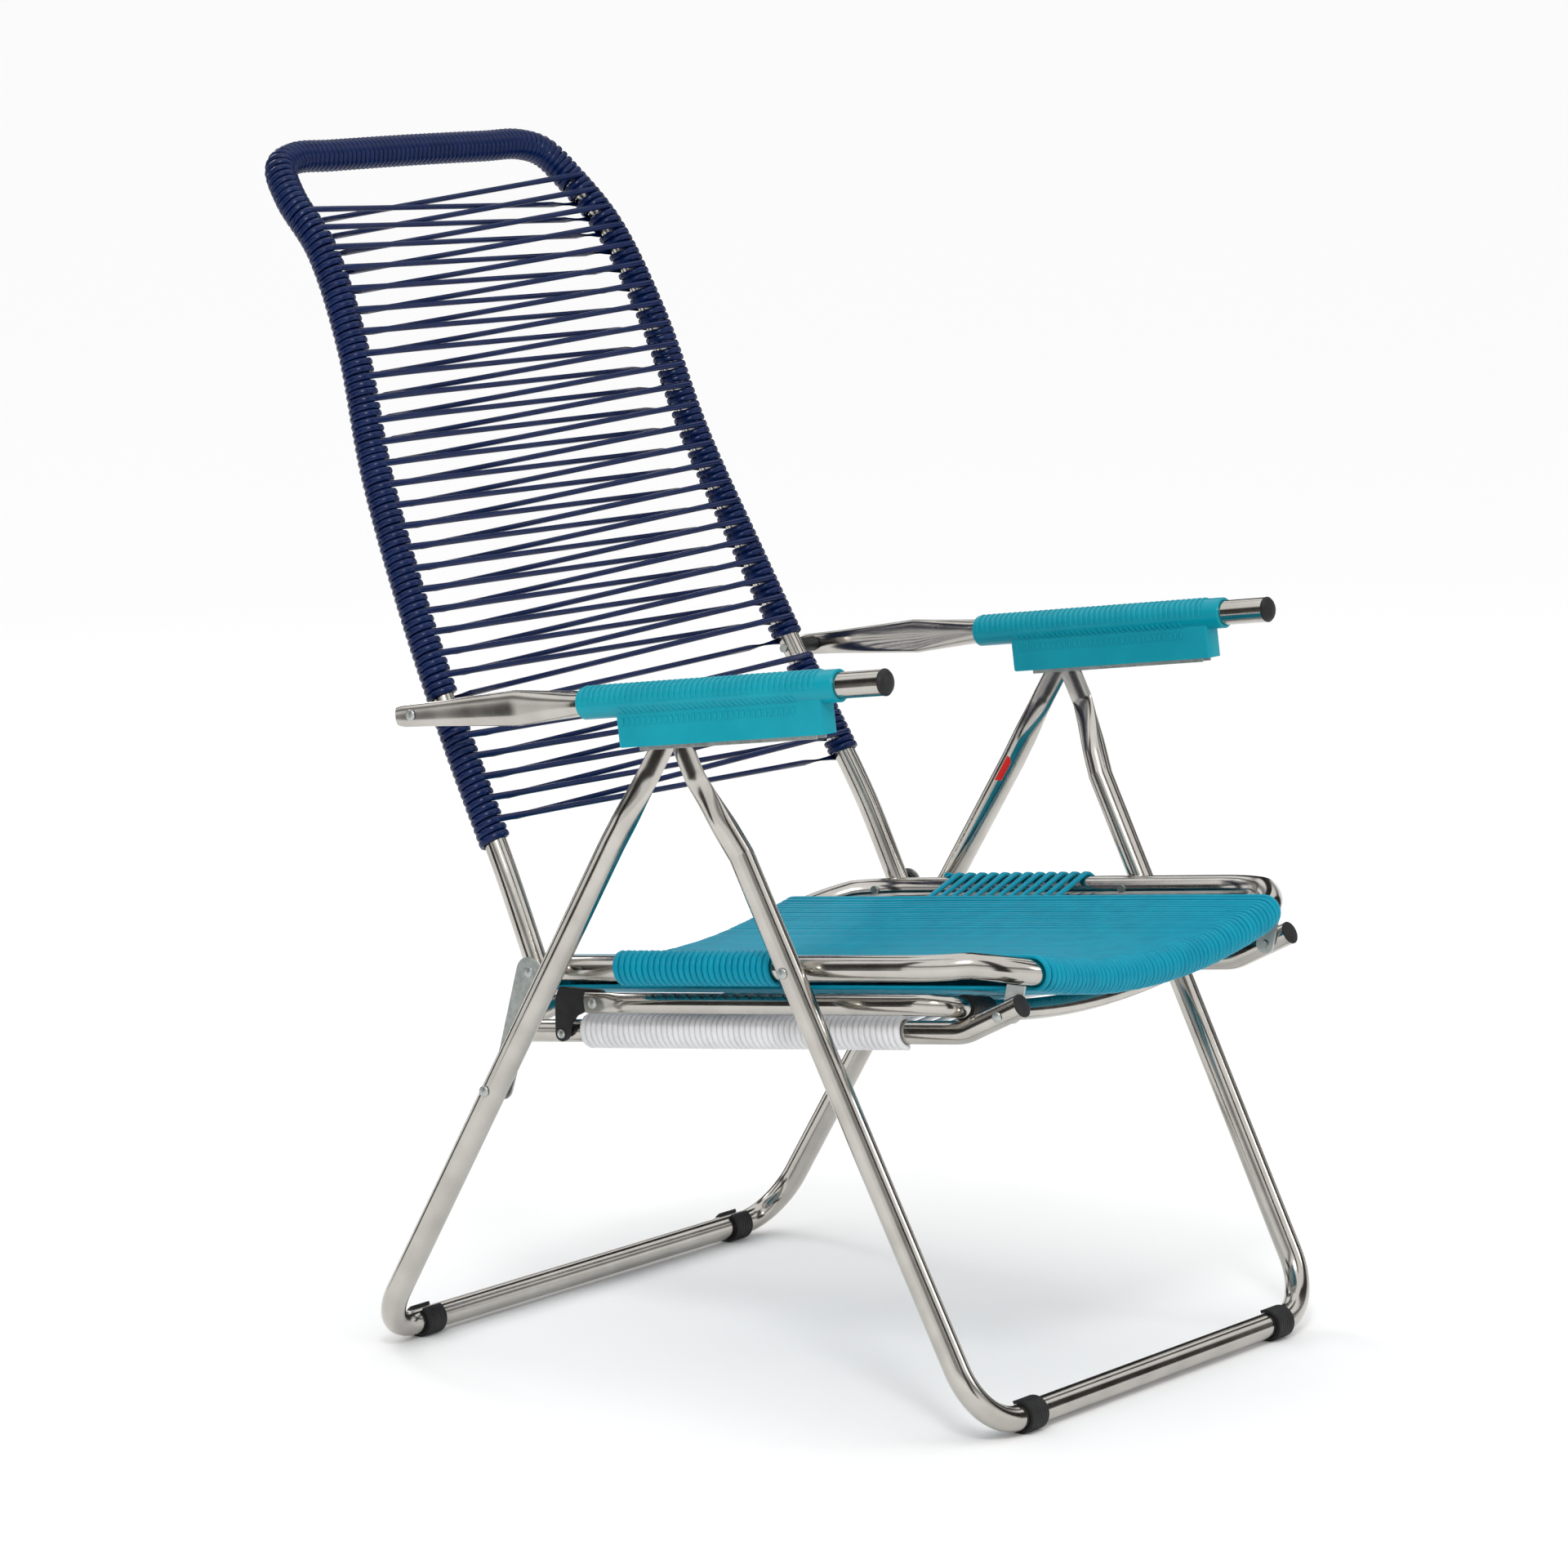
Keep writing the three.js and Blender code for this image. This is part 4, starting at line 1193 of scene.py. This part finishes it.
    def build_cross_cords(self) -> None:
        """The band laced round both side rails, between the two layers of long cord."""
        start, end, groups = 221.0, 384.0, 13
        pitch = (end - start) / groups

        def rail(distance: float) -> tuple[Vector, Vector]:
            """Left side rail, from the front."""
            y = start + distance
            return mm(-self.half_width, y, self.z(y)), Vector((0, 1, self.slope)).normalized()

        def route(point: Vector) -> float:
            """Keeps a strand in the gap between the two layers.

            Args:
                point: a point of the straight line.
            Returns:
                The height of the strand's axis there.
            """
            plane = self.z(point.y + LENGTH_OFFSET)
            height = point.z - plane
            low = drop(point.x, self.sag, self.sag_half)
            inside = min(max((self.half_width - abs(point.x)) / 60, 0), 1)
            limit = 13.4 + (5.6 - 13.4) * inside
            return plane - low + min(max(height, -limit), limit)

        lacing = Lacing(
            rail, Vector((0, 0, 1)), 0.0, pitch, groups, turns=(3, 1), tube_r=self.radius,
            wide=self.wide, thick=self.thick, strand=2.3, lift=0.2, advance=6.3, route=route,
        )
        stations = lacing.path()
        LOG.info("seat cross cord: %.1f m", length_of(stations))
        finished(swept("seat_cross_band", [stations]), TURQUOISE, "seat", "seat_cross_cords")


# ---------- armrests ----------
@dataclass
class Armrest:
    """One armrest: pressed tube, moulded grip with its box, steel rack and end cap."""

    side: Side
    x: float = 299.0
    radius: float = 11.0
    cover_radius: float = 14.0
    front: tuple[float, float] = (79.0, 632.5)
    slope: float = -0.1405
    cover: tuple[float, float] = (122.0, 384.0)
    box: tuple[float, float] = (137.0, 346.0)
    box_depth: float = 38.7
    box_half: float = 10.0
    tail: float = 17.0
    rib_pitch: float = 5.7

    SECTIONS = (
        (390, 11, 11), (425, 13.2, 8), (456, 15.4, 5.6), (500, 13, 4.6), (545, 10.6, 4), (590, 9.2, 4),
    )

    def place(self) -> Matrix:
        """From the tube's own line, along +Y from its front end, to the chair."""
        move = mm(self.side.value * self.x, *self.front) * MM
        return Matrix.Translation(move) @ Matrix.Rotation(math.atan(self.slope), 4, "X")

    def along(self, y: float) -> float:
        """Distance along the tube of a point at y."""
        return (y - self.front[0]) / math.cos(math.atan(self.slope))

    def build(self) -> None:
        """Makes the four pieces."""
        tag = self.side.tag
        finished(self.tube_piece(), METAL, "armrests", "armrest_tube_" + tag)
        finished(self.grip(), GRIP, "armrests", "armrest_cover_" + tag)
        finished(self.cap(), BLACK, "armrests", "armrest_cap_" + tag)
        finished(self.rack(), ZINC, "armrests", "armrest_rack_" + tag)

    def section(self, distance: float) -> tuple[float, float]:
        """Half height and half thickness of the tube.

        Args:
            distance: along the tube.
        Returns:
            The two sizes.
        """
        stations = [(self.along(y), h, t) for y, h, t in self.SECTIONS]
        if distance <= stations[0][0]:
            return self.radius, self.radius
        for (d0, h0, t0), (d1, h1, t1) in zip(stations, stations[1:]):
            if distance <= d1:
                s = (distance - d0) / (d1 - d0)
                return h0 + (h1 - h0) * s, t0 + (t1 - t0) * s
        return stations[-1][1:]

    def tube_piece(self) -> bpy.types.Object:
        """Round in front, pressed tall and thin behind the grip.

        Returns:
            The mesh object.
        """
        length = self.along(ARM_PIVOT[0]) + self.tail
        points = [Vector((0, length * k / 90, 0)) for k in range(91)]
        piece = tube(f"armrest_{self.side.tag}_tube", points, self.radius, 14)
        for vertex in piece.data.vertices:
            high, thin = self.section(vertex.co.y / MM)
            end = length - vertex.co.y / MM
            if end < 6:
                high *= math.sqrt(1 - 0.25 * (1 - end / 6) ** 2)
            vertex.co.x *= thin / self.radius
            vertex.co.z *= high / self.radius
        piece.data.update()
        return moved(piece, self.place())

    def grip(self) -> bpy.types.Object:
        """Ribbed sleeve with a box under it, in one moulding.

        Returns:
            The mesh object.
        """
        y0, y1 = self.along(self.cover[0]), self.along(self.cover[1])
        inner = self.radius + 0.25
        edge, outer = 0.8, self.cover_radius - 0.2
        profile = [
            (y0, inner), (y0, self.cover_radius - edge), (y0 + edge, outer),
            (y1 - edge, outer), (y1, self.cover_radius - edge), (y1, inner), (y0, inner),
        ]
        places = [Vector((0, y, r)) * MM for y, r in profile]
        sleeve = spun(f"armrest_{self.side.tag}_grip", places, Vector(), (0, 1, 0), 40)
        return moved(joined(sleeve, self.box_shell(), self.ribs()), self.place())

    def box_shell(self) -> bpy.types.Object:
        """The hollow box, open below, with softly rounded edges.

        Returns:
            The mesh object.
        """
        b0, b1 = self.along(self.box[0]), self.along(self.box[1])
        top, bottom, wall = -self.radius + 1.5, -self.box_depth, 2.4
        bpy.ops.object.select_all(action="DESELECT")
        bpy.ops.mesh.primitive_cube_add(size=MM)
        box = bpy.context.view_layer.objects.active
        box.data.transform(
            Matrix.Translation(Vector((0, (b0 + b1) / 2, (top + bottom) / 2)) * MM)
            @ Matrix.Diagonal((2 * self.box_half, b1 - b0, top - bottom, 1))
        )
        round_edge = box.modifiers.new("corner", "BEVEL")
        round_edge.width = 5 * MM
        round_edge.segments = 5
        round_edge.limit_method = "WEIGHT"
        weight = box.data.attributes.new("bevel_weight_edge", "FLOAT", "EDGE")
        for edge in box.data.edges:
            a, b = (box.data.vertices[i].co / MM for i in edge.vertices)
            upright = abs(a.z - b.z) > 1
            rear_bottom = abs(a.x - b.x) > 1 and a.z < top - 1 and a.y > b1 - 1 and b.y > b1 - 1
            weight.data[edge.index].value = 0.9 if rear_bottom else (0.45 if upright else 0.0)
        only(box)
        bpy.ops.object.modifier_apply(modifier=round_edge.name)
        bpy.ops.object.mode_set(mode="EDIT")
        bpy.ops.mesh.select_all(action="DESELECT")
        bpy.ops.object.mode_set(mode="OBJECT")
        for face in box.data.polygons:
            face.select = face.normal.z < -0.98
        bpy.ops.object.mode_set(mode="EDIT")
        bpy.ops.mesh.inset(thickness=wall * MM)
        cavity = (self.box_depth - 12.0) * MM
        bpy.ops.mesh.extrude_region_move(TRANSFORM_OT_translate={"value": (0, 0, cavity)})
        bpy.ops.object.mode_set(mode="OBJECT")
        return cleaned(box, 30)

    def ribs(self) -> bpy.types.Object:
        """Ribs over the top of the sleeve and the short ones on the box's shoulders.

        Returns:
            The mesh object.
        """
        runs: list[Stations] = []
        y = self.along(self.cover[0]) + 20
        last = self.along(self.cover[1]) - 4
        box_from, box_to = self.along(self.box[0]) + 24, self.along(self.box[1]) - 5
        while y < last:
            over = []
            for k in range(17):
                a = math.radians(-92 + 184 * k / 16)
                normal = Vector((math.sin(a), 0, math.cos(a)))
                fade = min(1.0, (16 - k) / 2 + 0.15, k / 2 + 0.15)
                point = Vector((0, y, 0)) + normal * (self.cover_radius - 0.2)
                over.append((point, normal, 2.1, 1.15 * fade))
            runs.append(over)
            if box_from < y < box_to:
                for hand in (-1, 1):
                    under = []
                    for k in range(6):
                        a = math.radians(112 + 26 * k / 5)
                        normal = Vector((hand * math.sin(a), 0, math.cos(a)))
                        lean = Vector((0, y - 2.5 * k / 5, 0))
                        under.append((lean + normal * (self.cover_radius - 0.2), normal, 1.5, 1.0))
                    runs.append(under)
                    face = Vector((hand, 0, 0))
                    tall = [Vector((hand * self.box_half, y, z)) for z in (-14.2, -16, -18, -20)]
                    runs.append([(p, face, 1.5, 1.0) for p in tall])
            y += self.rib_pitch
        return swept("ribs", runs, 8)

    def cap(self) -> bpy.types.Object:
        """Low dome pressed into the tube's front end.

        Returns:
            The mesh object.
        """
        reach, thick = self.radius + 0.35, 6.0
        profile = [(0.3, 0), (0.3, reach - 0.3), (-0.6, reach), (-1.6, reach)]
        profile += dome(-1.6, 1.6 - thick, reach - 0.6, 8)
        return spun_cap(f"armrest_{self.side.tag}_end", profile, self.place())

    def rack(self) -> bpy.types.Object:
        """A copy of the channel's solid with its sharp edges broken."""
        return softened_copy("armrest_rack_" + self.side.tag, 0.35)


def spun_cap(name: str, profile: Sequence[tuple[float, float]], place: Matrix) -> bpy.types.Object:
    """A cap turned about the Y axis and put in place.

    Args:
        name: the piece's name.
        profile: (y, radius) pairs, in millimetres, from the axis to the axis.
        place: where it goes.
    Returns:
        The mesh object.
    """
    places = [Vector((0, y, r)) * MM for y, r in profile]
    return moved(spun(name, places, Vector(), (0, 1, 0), 40), place)


def softened_copy(node: str, radius: float) -> bpy.types.Object:
    """A CAD node's shape with its sharp edges rounded.

    Args:
        node: the CAD node's name.
        radius: width of the rounding, in millimetres.
    Returns:
        The mesh object.
    """
    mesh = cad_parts[node].data.copy()
    piece = linked(node + "_soft", mesh)
    cleaned(piece, 30)
    only(piece)
    bpy.ops.object.mode_set(mode="EDIT")
    bpy.ops.mesh.select_all(action="SELECT")
    bpy.ops.mesh.dissolve_limited(angle_limit=math.radians(1))
    bpy.ops.object.mode_set(mode="OBJECT")
    rounded(piece, radius)
    return piece


# ---------- footrest ----------
@dataclass
class Footrest:
    """Footrest U with its lacing, brackets and the ground leg stowed on top of it."""

    x: float = 213.5
    radius: float = 10.0
    tip: tuple[float, float] = (-0.5, 361.6)
    bend: tuple[float, float] = (55.0, 332.9)
    slope: float = -0.111
    rear_y: float = 541.0
    bow: float = 20.0
    cords: tuple[float, float] = (113.0, 446.0)
    leg_x: float = 233.0
    leg_radius: float = 9.0
    leg_pivot: tuple[float, float] = (424.0, 319.3)
    leg_bar: tuple[float, float] = (62.0, 358.0)
    leg_sag: float = 28.0
    bracket_foot: tuple[float, float] = (463.0, 287.2)
    bracket_x: float = 223.9

    def z(self, y: float) -> float:
        """Height of the side tubes behind their bend."""
        return self.bend[1] + self.slope * (y - self.bend[0])

    def build(self) -> None:
        """Makes the footrest and everything that swings with it."""
        self.build_frame()
        self.build_lacing()
        self.build_leg()
        for side in Side:
            self.build_cap(side)
            self.build_bracket(side)
            self.build_leg_foot(side)

    def build_frame(self) -> None:
        """The dog-legged U with its rear bar bowed up."""
        rear = mm(self.x, self.rear_y, self.z(self.rear_y))
        corner, reach = 36.0, self.x - 36.0
        corners = [mm(self.x, *self.tip), mm(self.x, *self.bend), rear, Vector((0, rear.y, rear.z))]
        half = filleted(corners, [40.0, corner], 14)[:-1]
        half += [Vector((reach * (1 - k / 12), rear.y, rear.z)) for k in range(1, 13)]
        line = []
        for point in both_sides(half):
            on_bar = point.y + LENGTH_OFFSET > self.rear_y - corner
            line.append(point + Vector((0, 0, drop(point.x, self.bow, self.x) if on_bar else 0)))
        finished(tube("footrest_frame_tube", line, self.radius), METAL, "footrest", "footrest_frame")

    def build_lacing(self) -> None:
        """White cord wound on both side tubes and across."""
        start, end = self.cords
        groups = 19
        pitch = (end - start) / groups

        def rail(distance: float) -> tuple[Vector, Vector]:
            """Left side tube, from the front."""
            y = start + distance
            return mm(-self.x, y, self.z(y)), Vector((0, 1, self.slope)).normalized()

        lacing = Lacing(
            rail, Vector((0, 0, 1)), 0.0, pitch, groups, tube_r=self.radius,
            wide=2.9, thick=2.6, strand=2.5, lift=0.1, advance=5.85,
        )
        stations = lacing.path()
        LOG.info("footrest cord: %.1f m", length_of(stations))
        nodes = ["footrest_cords", "footrest_winding_L", "footrest_winding_R"]
        finished(swept("footrest_cord", [stations]), WHITE, "footrest", *nodes)

    def build_cap(self, side: Side) -> None:
        """Low plug in the front end of a side tube.

        Args:
            side: which side of the chair.
        """
        tilt = math.atan2(self.tip[1] - self.bend[1], self.bend[0] - self.tip[0])
        place = Matrix.Translation(mm(side.value * self.x, *self.tip) * MM) @ Matrix.Rotation(-tilt, 4, "X")
        reach = self.radius + 0.2
        profile = [(0.3, 0), (0.3, reach - 0.4), (-0.4, reach), (-1.0, reach)]
        profile += dome(-1.0, -1.4, reach, 6)
        piece = spun_cap(f"footrest_{side.tag}_end", profile, place)
        finished(piece, BLACK, "footrest", "footrest_cap_" + side.tag)

    def build_leg(self) -> None:
        """The thinner U that becomes the footrest's own leg."""
        corner = 28.0
        reach = self.leg_x - corner
        end = (self.leg_pivot[0] + 9, self.leg_pivot[1] - 1)
        half = filleted(
            [mm(self.leg_x, *end), mm(self.leg_x, *self.leg_bar), mm(0, *self.leg_bar)], [corner], 14
        )[:-1]
        start, half = half[0], half[1:]
        half = [start.lerp(half[0], k / 30) for k in range(30)] + half
        bar = half[-1]
        half += [Vector((reach * (1 - k / 14), bar.y, bar.z)) for k in range(1, 15)]
        line = []
        for point in both_sides(half):
            on_bar = point.y + LENGTH_OFFSET < self.leg_bar[0] + corner
            line.append(point - Vector((0, 0, drop(point.x, self.leg_sag, self.leg_x) if on_bar else 0)))
        piece = tube("prop_frame_tube", line, self.leg_radius)
        flat_from, flat_to = self.leg_pivot[0] - 30, self.leg_pivot[0] - 14
        flat_x, half_flat = self.bracket_x + 9.5, 3.4
        for vertex in piece.data.vertices:
            y = vertex.co.y / MM + LENGTH_OFFSET
            if y < flat_from:
                continue
            share = min((y - flat_from) / (flat_to - flat_from), 1)
            share = share * share * (3 - 2 * share)
            hand = math.copysign(1, vertex.co.x)
            from_axis = vertex.co.x / MM - hand * self.leg_x
            middle = self.leg_x + (flat_x - self.leg_x) * share
            vertex.co.x = (hand * middle + from_axis * (1 + (half_flat / self.leg_radius - 1) * share)) * MM
        finished(cleaned(piece), METAL, "footrest", "prop_frame")

    def build_bracket(self, side: Side) -> None:
        """Black bracket with its two rivets, outside the side tube.

        Args:
            side: which side of the chair.
        """
        foot, pivot_at = self.bracket_foot, self.leg_pivot
        lobe = [
            (foot[0] + 7 * math.cos(a), foot[1] + 7 * math.sin(a))
            for a in (math.radians(200 + 150 * k / 8) for k in range(9))
        ]
        head = [
            (pivot_at[0] + 9.5 * math.cos(a), pivot_at[1] + 1.5 + 9.5 * math.sin(a))
            for a in (math.radians(100 + 150 * k / 10) for k in range(11))
        ]
        outline = lobe + [(foot[0] + 7.5, foot[1] + 30), (foot[0] + 3, foot[1] + 41)] + head
        outline += [(pivot_at[0] + 12, pivot_at[1] - 9)]
        outline += [(foot[0] - 15, foot[1] + 17), (foot[0] - 9, foot[1] + 9)]
        inner, outer = self.bracket_x * side.value, (self.bracket_x + 5.6) * side.value
        piece = plate(f"bracket_{side.tag}", outline, inner, outer, 1.2)
        finished(piece, BLACK, "footrest", "prop_bracket_" + side.tag)
        heads = (("foot", foot, self.bracket_x + 5.6, 4.2), ("leg", pivot_at, self.bracket_x + 12.7, 4.6))
        for label, at, x, radius in heads:
            profile = [(x, 0), (x, radius)] + dome(x, 2.1, radius, 7)
            profile = [(px * side.value, r) for px, r in profile]
            rivet = turned(f"bracket_rivet_{label}_{side.tag}", profile, at, 24)
            finished(rivet, ZINC, "footrest")

    def build_leg_foot(self, side: Side) -> None:
        """Ribbed black sleeve on the leg's crossbar, which follows the bar's bow.

        Args:
            side: which side of the chair.
        """
        centre, half, ribs = 188.0, 17.0, 8
        count = ribs * 4
        stations = []
        for i in range(count + 1):
            x = centre - half + 2 * half * i / count
            z = self.leg_bar[1] - drop(x, self.leg_sag, self.leg_x)
            groove = 0.5 * (1 - abs(math.cos(math.pi * i * ribs / count)))
            radius = self.leg_radius + 2.2 - groove
            stations.append((mm(side.value * x, self.leg_bar[0], z), Vector((0, 0, 1)), radius, radius))
        piece = swept(f"prop_foot_{side.tag}_sleeve", [stations], 32)
        finished(piece, BLACK, "footrest", "prop_foot_" + side.tag)


# ---------- small marks ----------
def red_mark() -> None:
    """A plain red patch stuck round the outside of the right rear leg."""
    low, high, radius = 454.0, 488.0, 11.25
    shape = bmesh.new()
    rows = []
    for i in range(7):
        z = low + (high - low) * i / 6
        share = (TOP[1] - z) / (TOP[1] - FOOT_Z)
        y = TOP[0] + (REAR_FOOT_Y - TOP[0]) * share
        x = REAR_TOP_X + (REAR_FOOT_X - REAR_TOP_X) * share
        row = []
        for k in range(13):
            a = math.radians(-100 + 150 * k / 12)
            row.append(shape.verts.new(mm(x + radius * math.sin(a), y - radius * math.cos(a), z) * MM))
        rows.append(row)
    for a, b in zip(rows, rows[1:]):
        for k in range(12):
            shape.faces.new((a[k], a[k + 1], b[k + 1], b[k]))
    mesh = bpy.data.meshes.new("red_mark")
    shape.to_mesh(mesh)
    shape.free()
    piece = linked("red_mark", mesh)
    thick = piece.modifiers.new("thickness", "SOLIDIFY")
    thick.thickness = 0.15 * MM
    only(piece)
    bpy.ops.object.modifier_apply(modifier=thick.name)
    finished(cleaned(piece), MARK, "rear_legs")


# ---------- studio ----------
@dataclass
class Studio:
    """Pale floor, soft lights and the camera."""

    floor_size: float = 240.0

    def build(self) -> None:
        """Sets the stage round the chair."""
        self.floor()
        self.lights()
        self.cards()
        self.camera()

    def floor(self) -> None:
        """One wide pale plane."""
        bpy.ops.object.select_all(action="DESELECT")
        bpy.ops.mesh.primitive_plane_add(size=self.floor_size)
        floor = bpy.context.view_layer.objects.active
        floor.name = "floor"
        pale = bpy.data.materials.new("pale_floor")
        pale.use_nodes = True
        shader = pale.node_tree.nodes["Principled BSDF"]
        shader.inputs["Base Color"].default_value = (0.93, 0.93, 0.93, 1)
        shader.inputs["Roughness"].default_value = 0.9
        shader.inputs["Specular IOR Level"].default_value = 0.1
        floor.data.materials.append(pale)

    def lights(self) -> None:
        """A white room with darker bands, for the tubes to reflect, and three soft boxes."""
        world = bpy.data.worlds.new("studio")
        bpy.context.scene.world = world
        world.use_nodes = True
        nodes, links = world.node_tree.nodes, world.node_tree.links
        place = nodes.new("ShaderNodeTexCoord")
        split = nodes.new("ShaderNodeSeparateXYZ")
        links.new(place.outputs["Generated"], split.inputs["Vector"])
        ramp = nodes.new("ShaderNodeValToRGB")
        bands = (
            (0.0, 1.0), (0.5, 1.0), (0.58, 1.0), (0.62, 0.25),
            (0.68, 0.25), (0.72, 1.05), (0.86, 1.1), (1.0, 1.1),
        )
        ramp.color_ramp.elements[0].position = bands[0][0]
        ramp.color_ramp.elements[0].color = (bands[0][1],) * 3 + (1,)
        ramp.color_ramp.elements[1].position = bands[-1][0]
        ramp.color_ramp.elements[1].color = (bands[-1][1],) * 3 + (1,)
        for position, level in bands[1:-1]:
            element = ramp.color_ramp.elements.new(position)
            element.color = (level, level, level, 1)
        shift = nodes.new("ShaderNodeMapRange")
        shift.inputs["From Min"].default_value = -1.0
        links.new(split.outputs["Z"], shift.inputs["Value"])
        links.new(shift.outputs["Result"], ramp.inputs["Fac"])
        links.new(ramp.outputs["Color"], nodes["Background"].inputs["Color"])
        nodes["Background"].inputs["Strength"].default_value = 1.06
        boxes = (
            ("key", (-2.6, -1.8, 3.2), 42.0, 0.7),
            ("fill", (1.8, -3.4, 1.8), 9.0, 0.8),
            ("rim", (1.2, 3.0, 2.6), 16.0, 1.0),
        )
        for name, place_at, power, size in boxes:
            light = bpy.data.lights.new(name, "AREA")
            light.energy = power
            light.size = size
            lamp = bpy.data.objects.new(name, light)
            lamp.location = place_at
            aim = Vector((0, 0, 0.5)) - Vector(place_at)
            lamp.rotation_euler = aim.to_track_quat("-Z", "Y").to_euler()
            bpy.context.scene.collection.objects.link(lamp)

    def cards(self) -> None:
        """Dark boards round the chair, which only its gloss sees, so that the tubes get their streaks."""
        dark = bpy.data.materials.new("dark_card")
        dark.use_nodes = True
        shader = dark.node_tree.nodes["Principled BSDF"]
        shader.inputs["Base Color"].default_value = (0.02, 0.018, 0.016, 1)
        shader.inputs["Roughness"].default_value = 1.0
        shader.inputs["Specular IOR Level"].default_value = 0.0
        boards = ((250, 0.42), (152, 0.6), (312, 0.55), (105, 0.5), (20, 0.6), (345, 0.35), (60, 0.5))
        tall, away, middle = 2.6, 1.7, 1.3
        for bearing, width in boards:
            bpy.ops.object.select_all(action="DESELECT")
            bpy.ops.mesh.primitive_plane_add(size=1.0)
            card = bpy.context.view_layer.objects.active
            card.name = f"card_{bearing}"
            card.data.transform(Matrix.Rotation(math.pi / 2, 4, "X") @ Matrix.Diagonal((width, tall, 1, 1)))
            card.data.transform(Matrix.Translation((0, away, middle)))
            card.data.transform(Matrix.Rotation(math.radians(bearing - 90), 4, "Z"))
            card.data.materials.append(dark)
            for ray in ("camera", "diffuse", "shadow", "transmission", "volume_scatter"):
                setattr(card, "visible_" + ray, False)

    def camera(self) -> None:
        """A long lens from the chair's front left, a little above it."""
        data = bpy.data.cameras.new("camera")
        data.sensor_width = 36.0
        data.lens = 142.2
        data.clip_end = 500.0
        camera = bpy.data.objects.new("camera", data)
        camera.location = mm(-4395, -2741.4, 1311.4) * MM
        yaw, pitch, roll = math.radians(54.518), math.radians(-8.718), math.radians(0.199)
        look = Vector((math.sin(yaw) * math.cos(pitch), math.cos(yaw) * math.cos(pitch), math.sin(pitch)))
        turn = look.to_track_quat("-Z", "Y").to_matrix() @ Matrix.Rotation(roll, 3, "Z")
        camera.rotation_euler = turn.to_euler()
        bpy.context.scene.collection.objects.link(camera)
        bpy.context.scene.camera = camera
        bpy.context.scene.view_settings.view_transform = "Standard"


def main() -> None:
    """Builds the chair, dresses it and sets the stage."""
    logging.basicConfig(level=logging.INFO, format="%(name)s: %(message)s")
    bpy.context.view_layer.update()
    LegFrame(
        "front_leg_frame", "front_legs", foot_y=0.0, bottom_x=265.0, top_x=279.5, tab_x=296.4,
        corner=55.0, clip_x=198.0, clip_turn=math.pi / 5,
    ).build()
    LegFrame(
        "rear_leg_frame", "rear_legs", foot_y=REAR_FOOT_Y, bottom_x=REAR_FOOT_X, top_x=REAR_TOP_X,
        tab_x=301.6, corner=50.0, clip_x=231.0, clip_turn=math.pi / 2,
    ).build()
    Hardware().build()
    Backrest().build()
    Seat().build()
    for side in Side:
        Armrest(side).build()
    Footrest().build()
    red_mark()
    Studio().build()


if __name__ == "__main__":
    main()
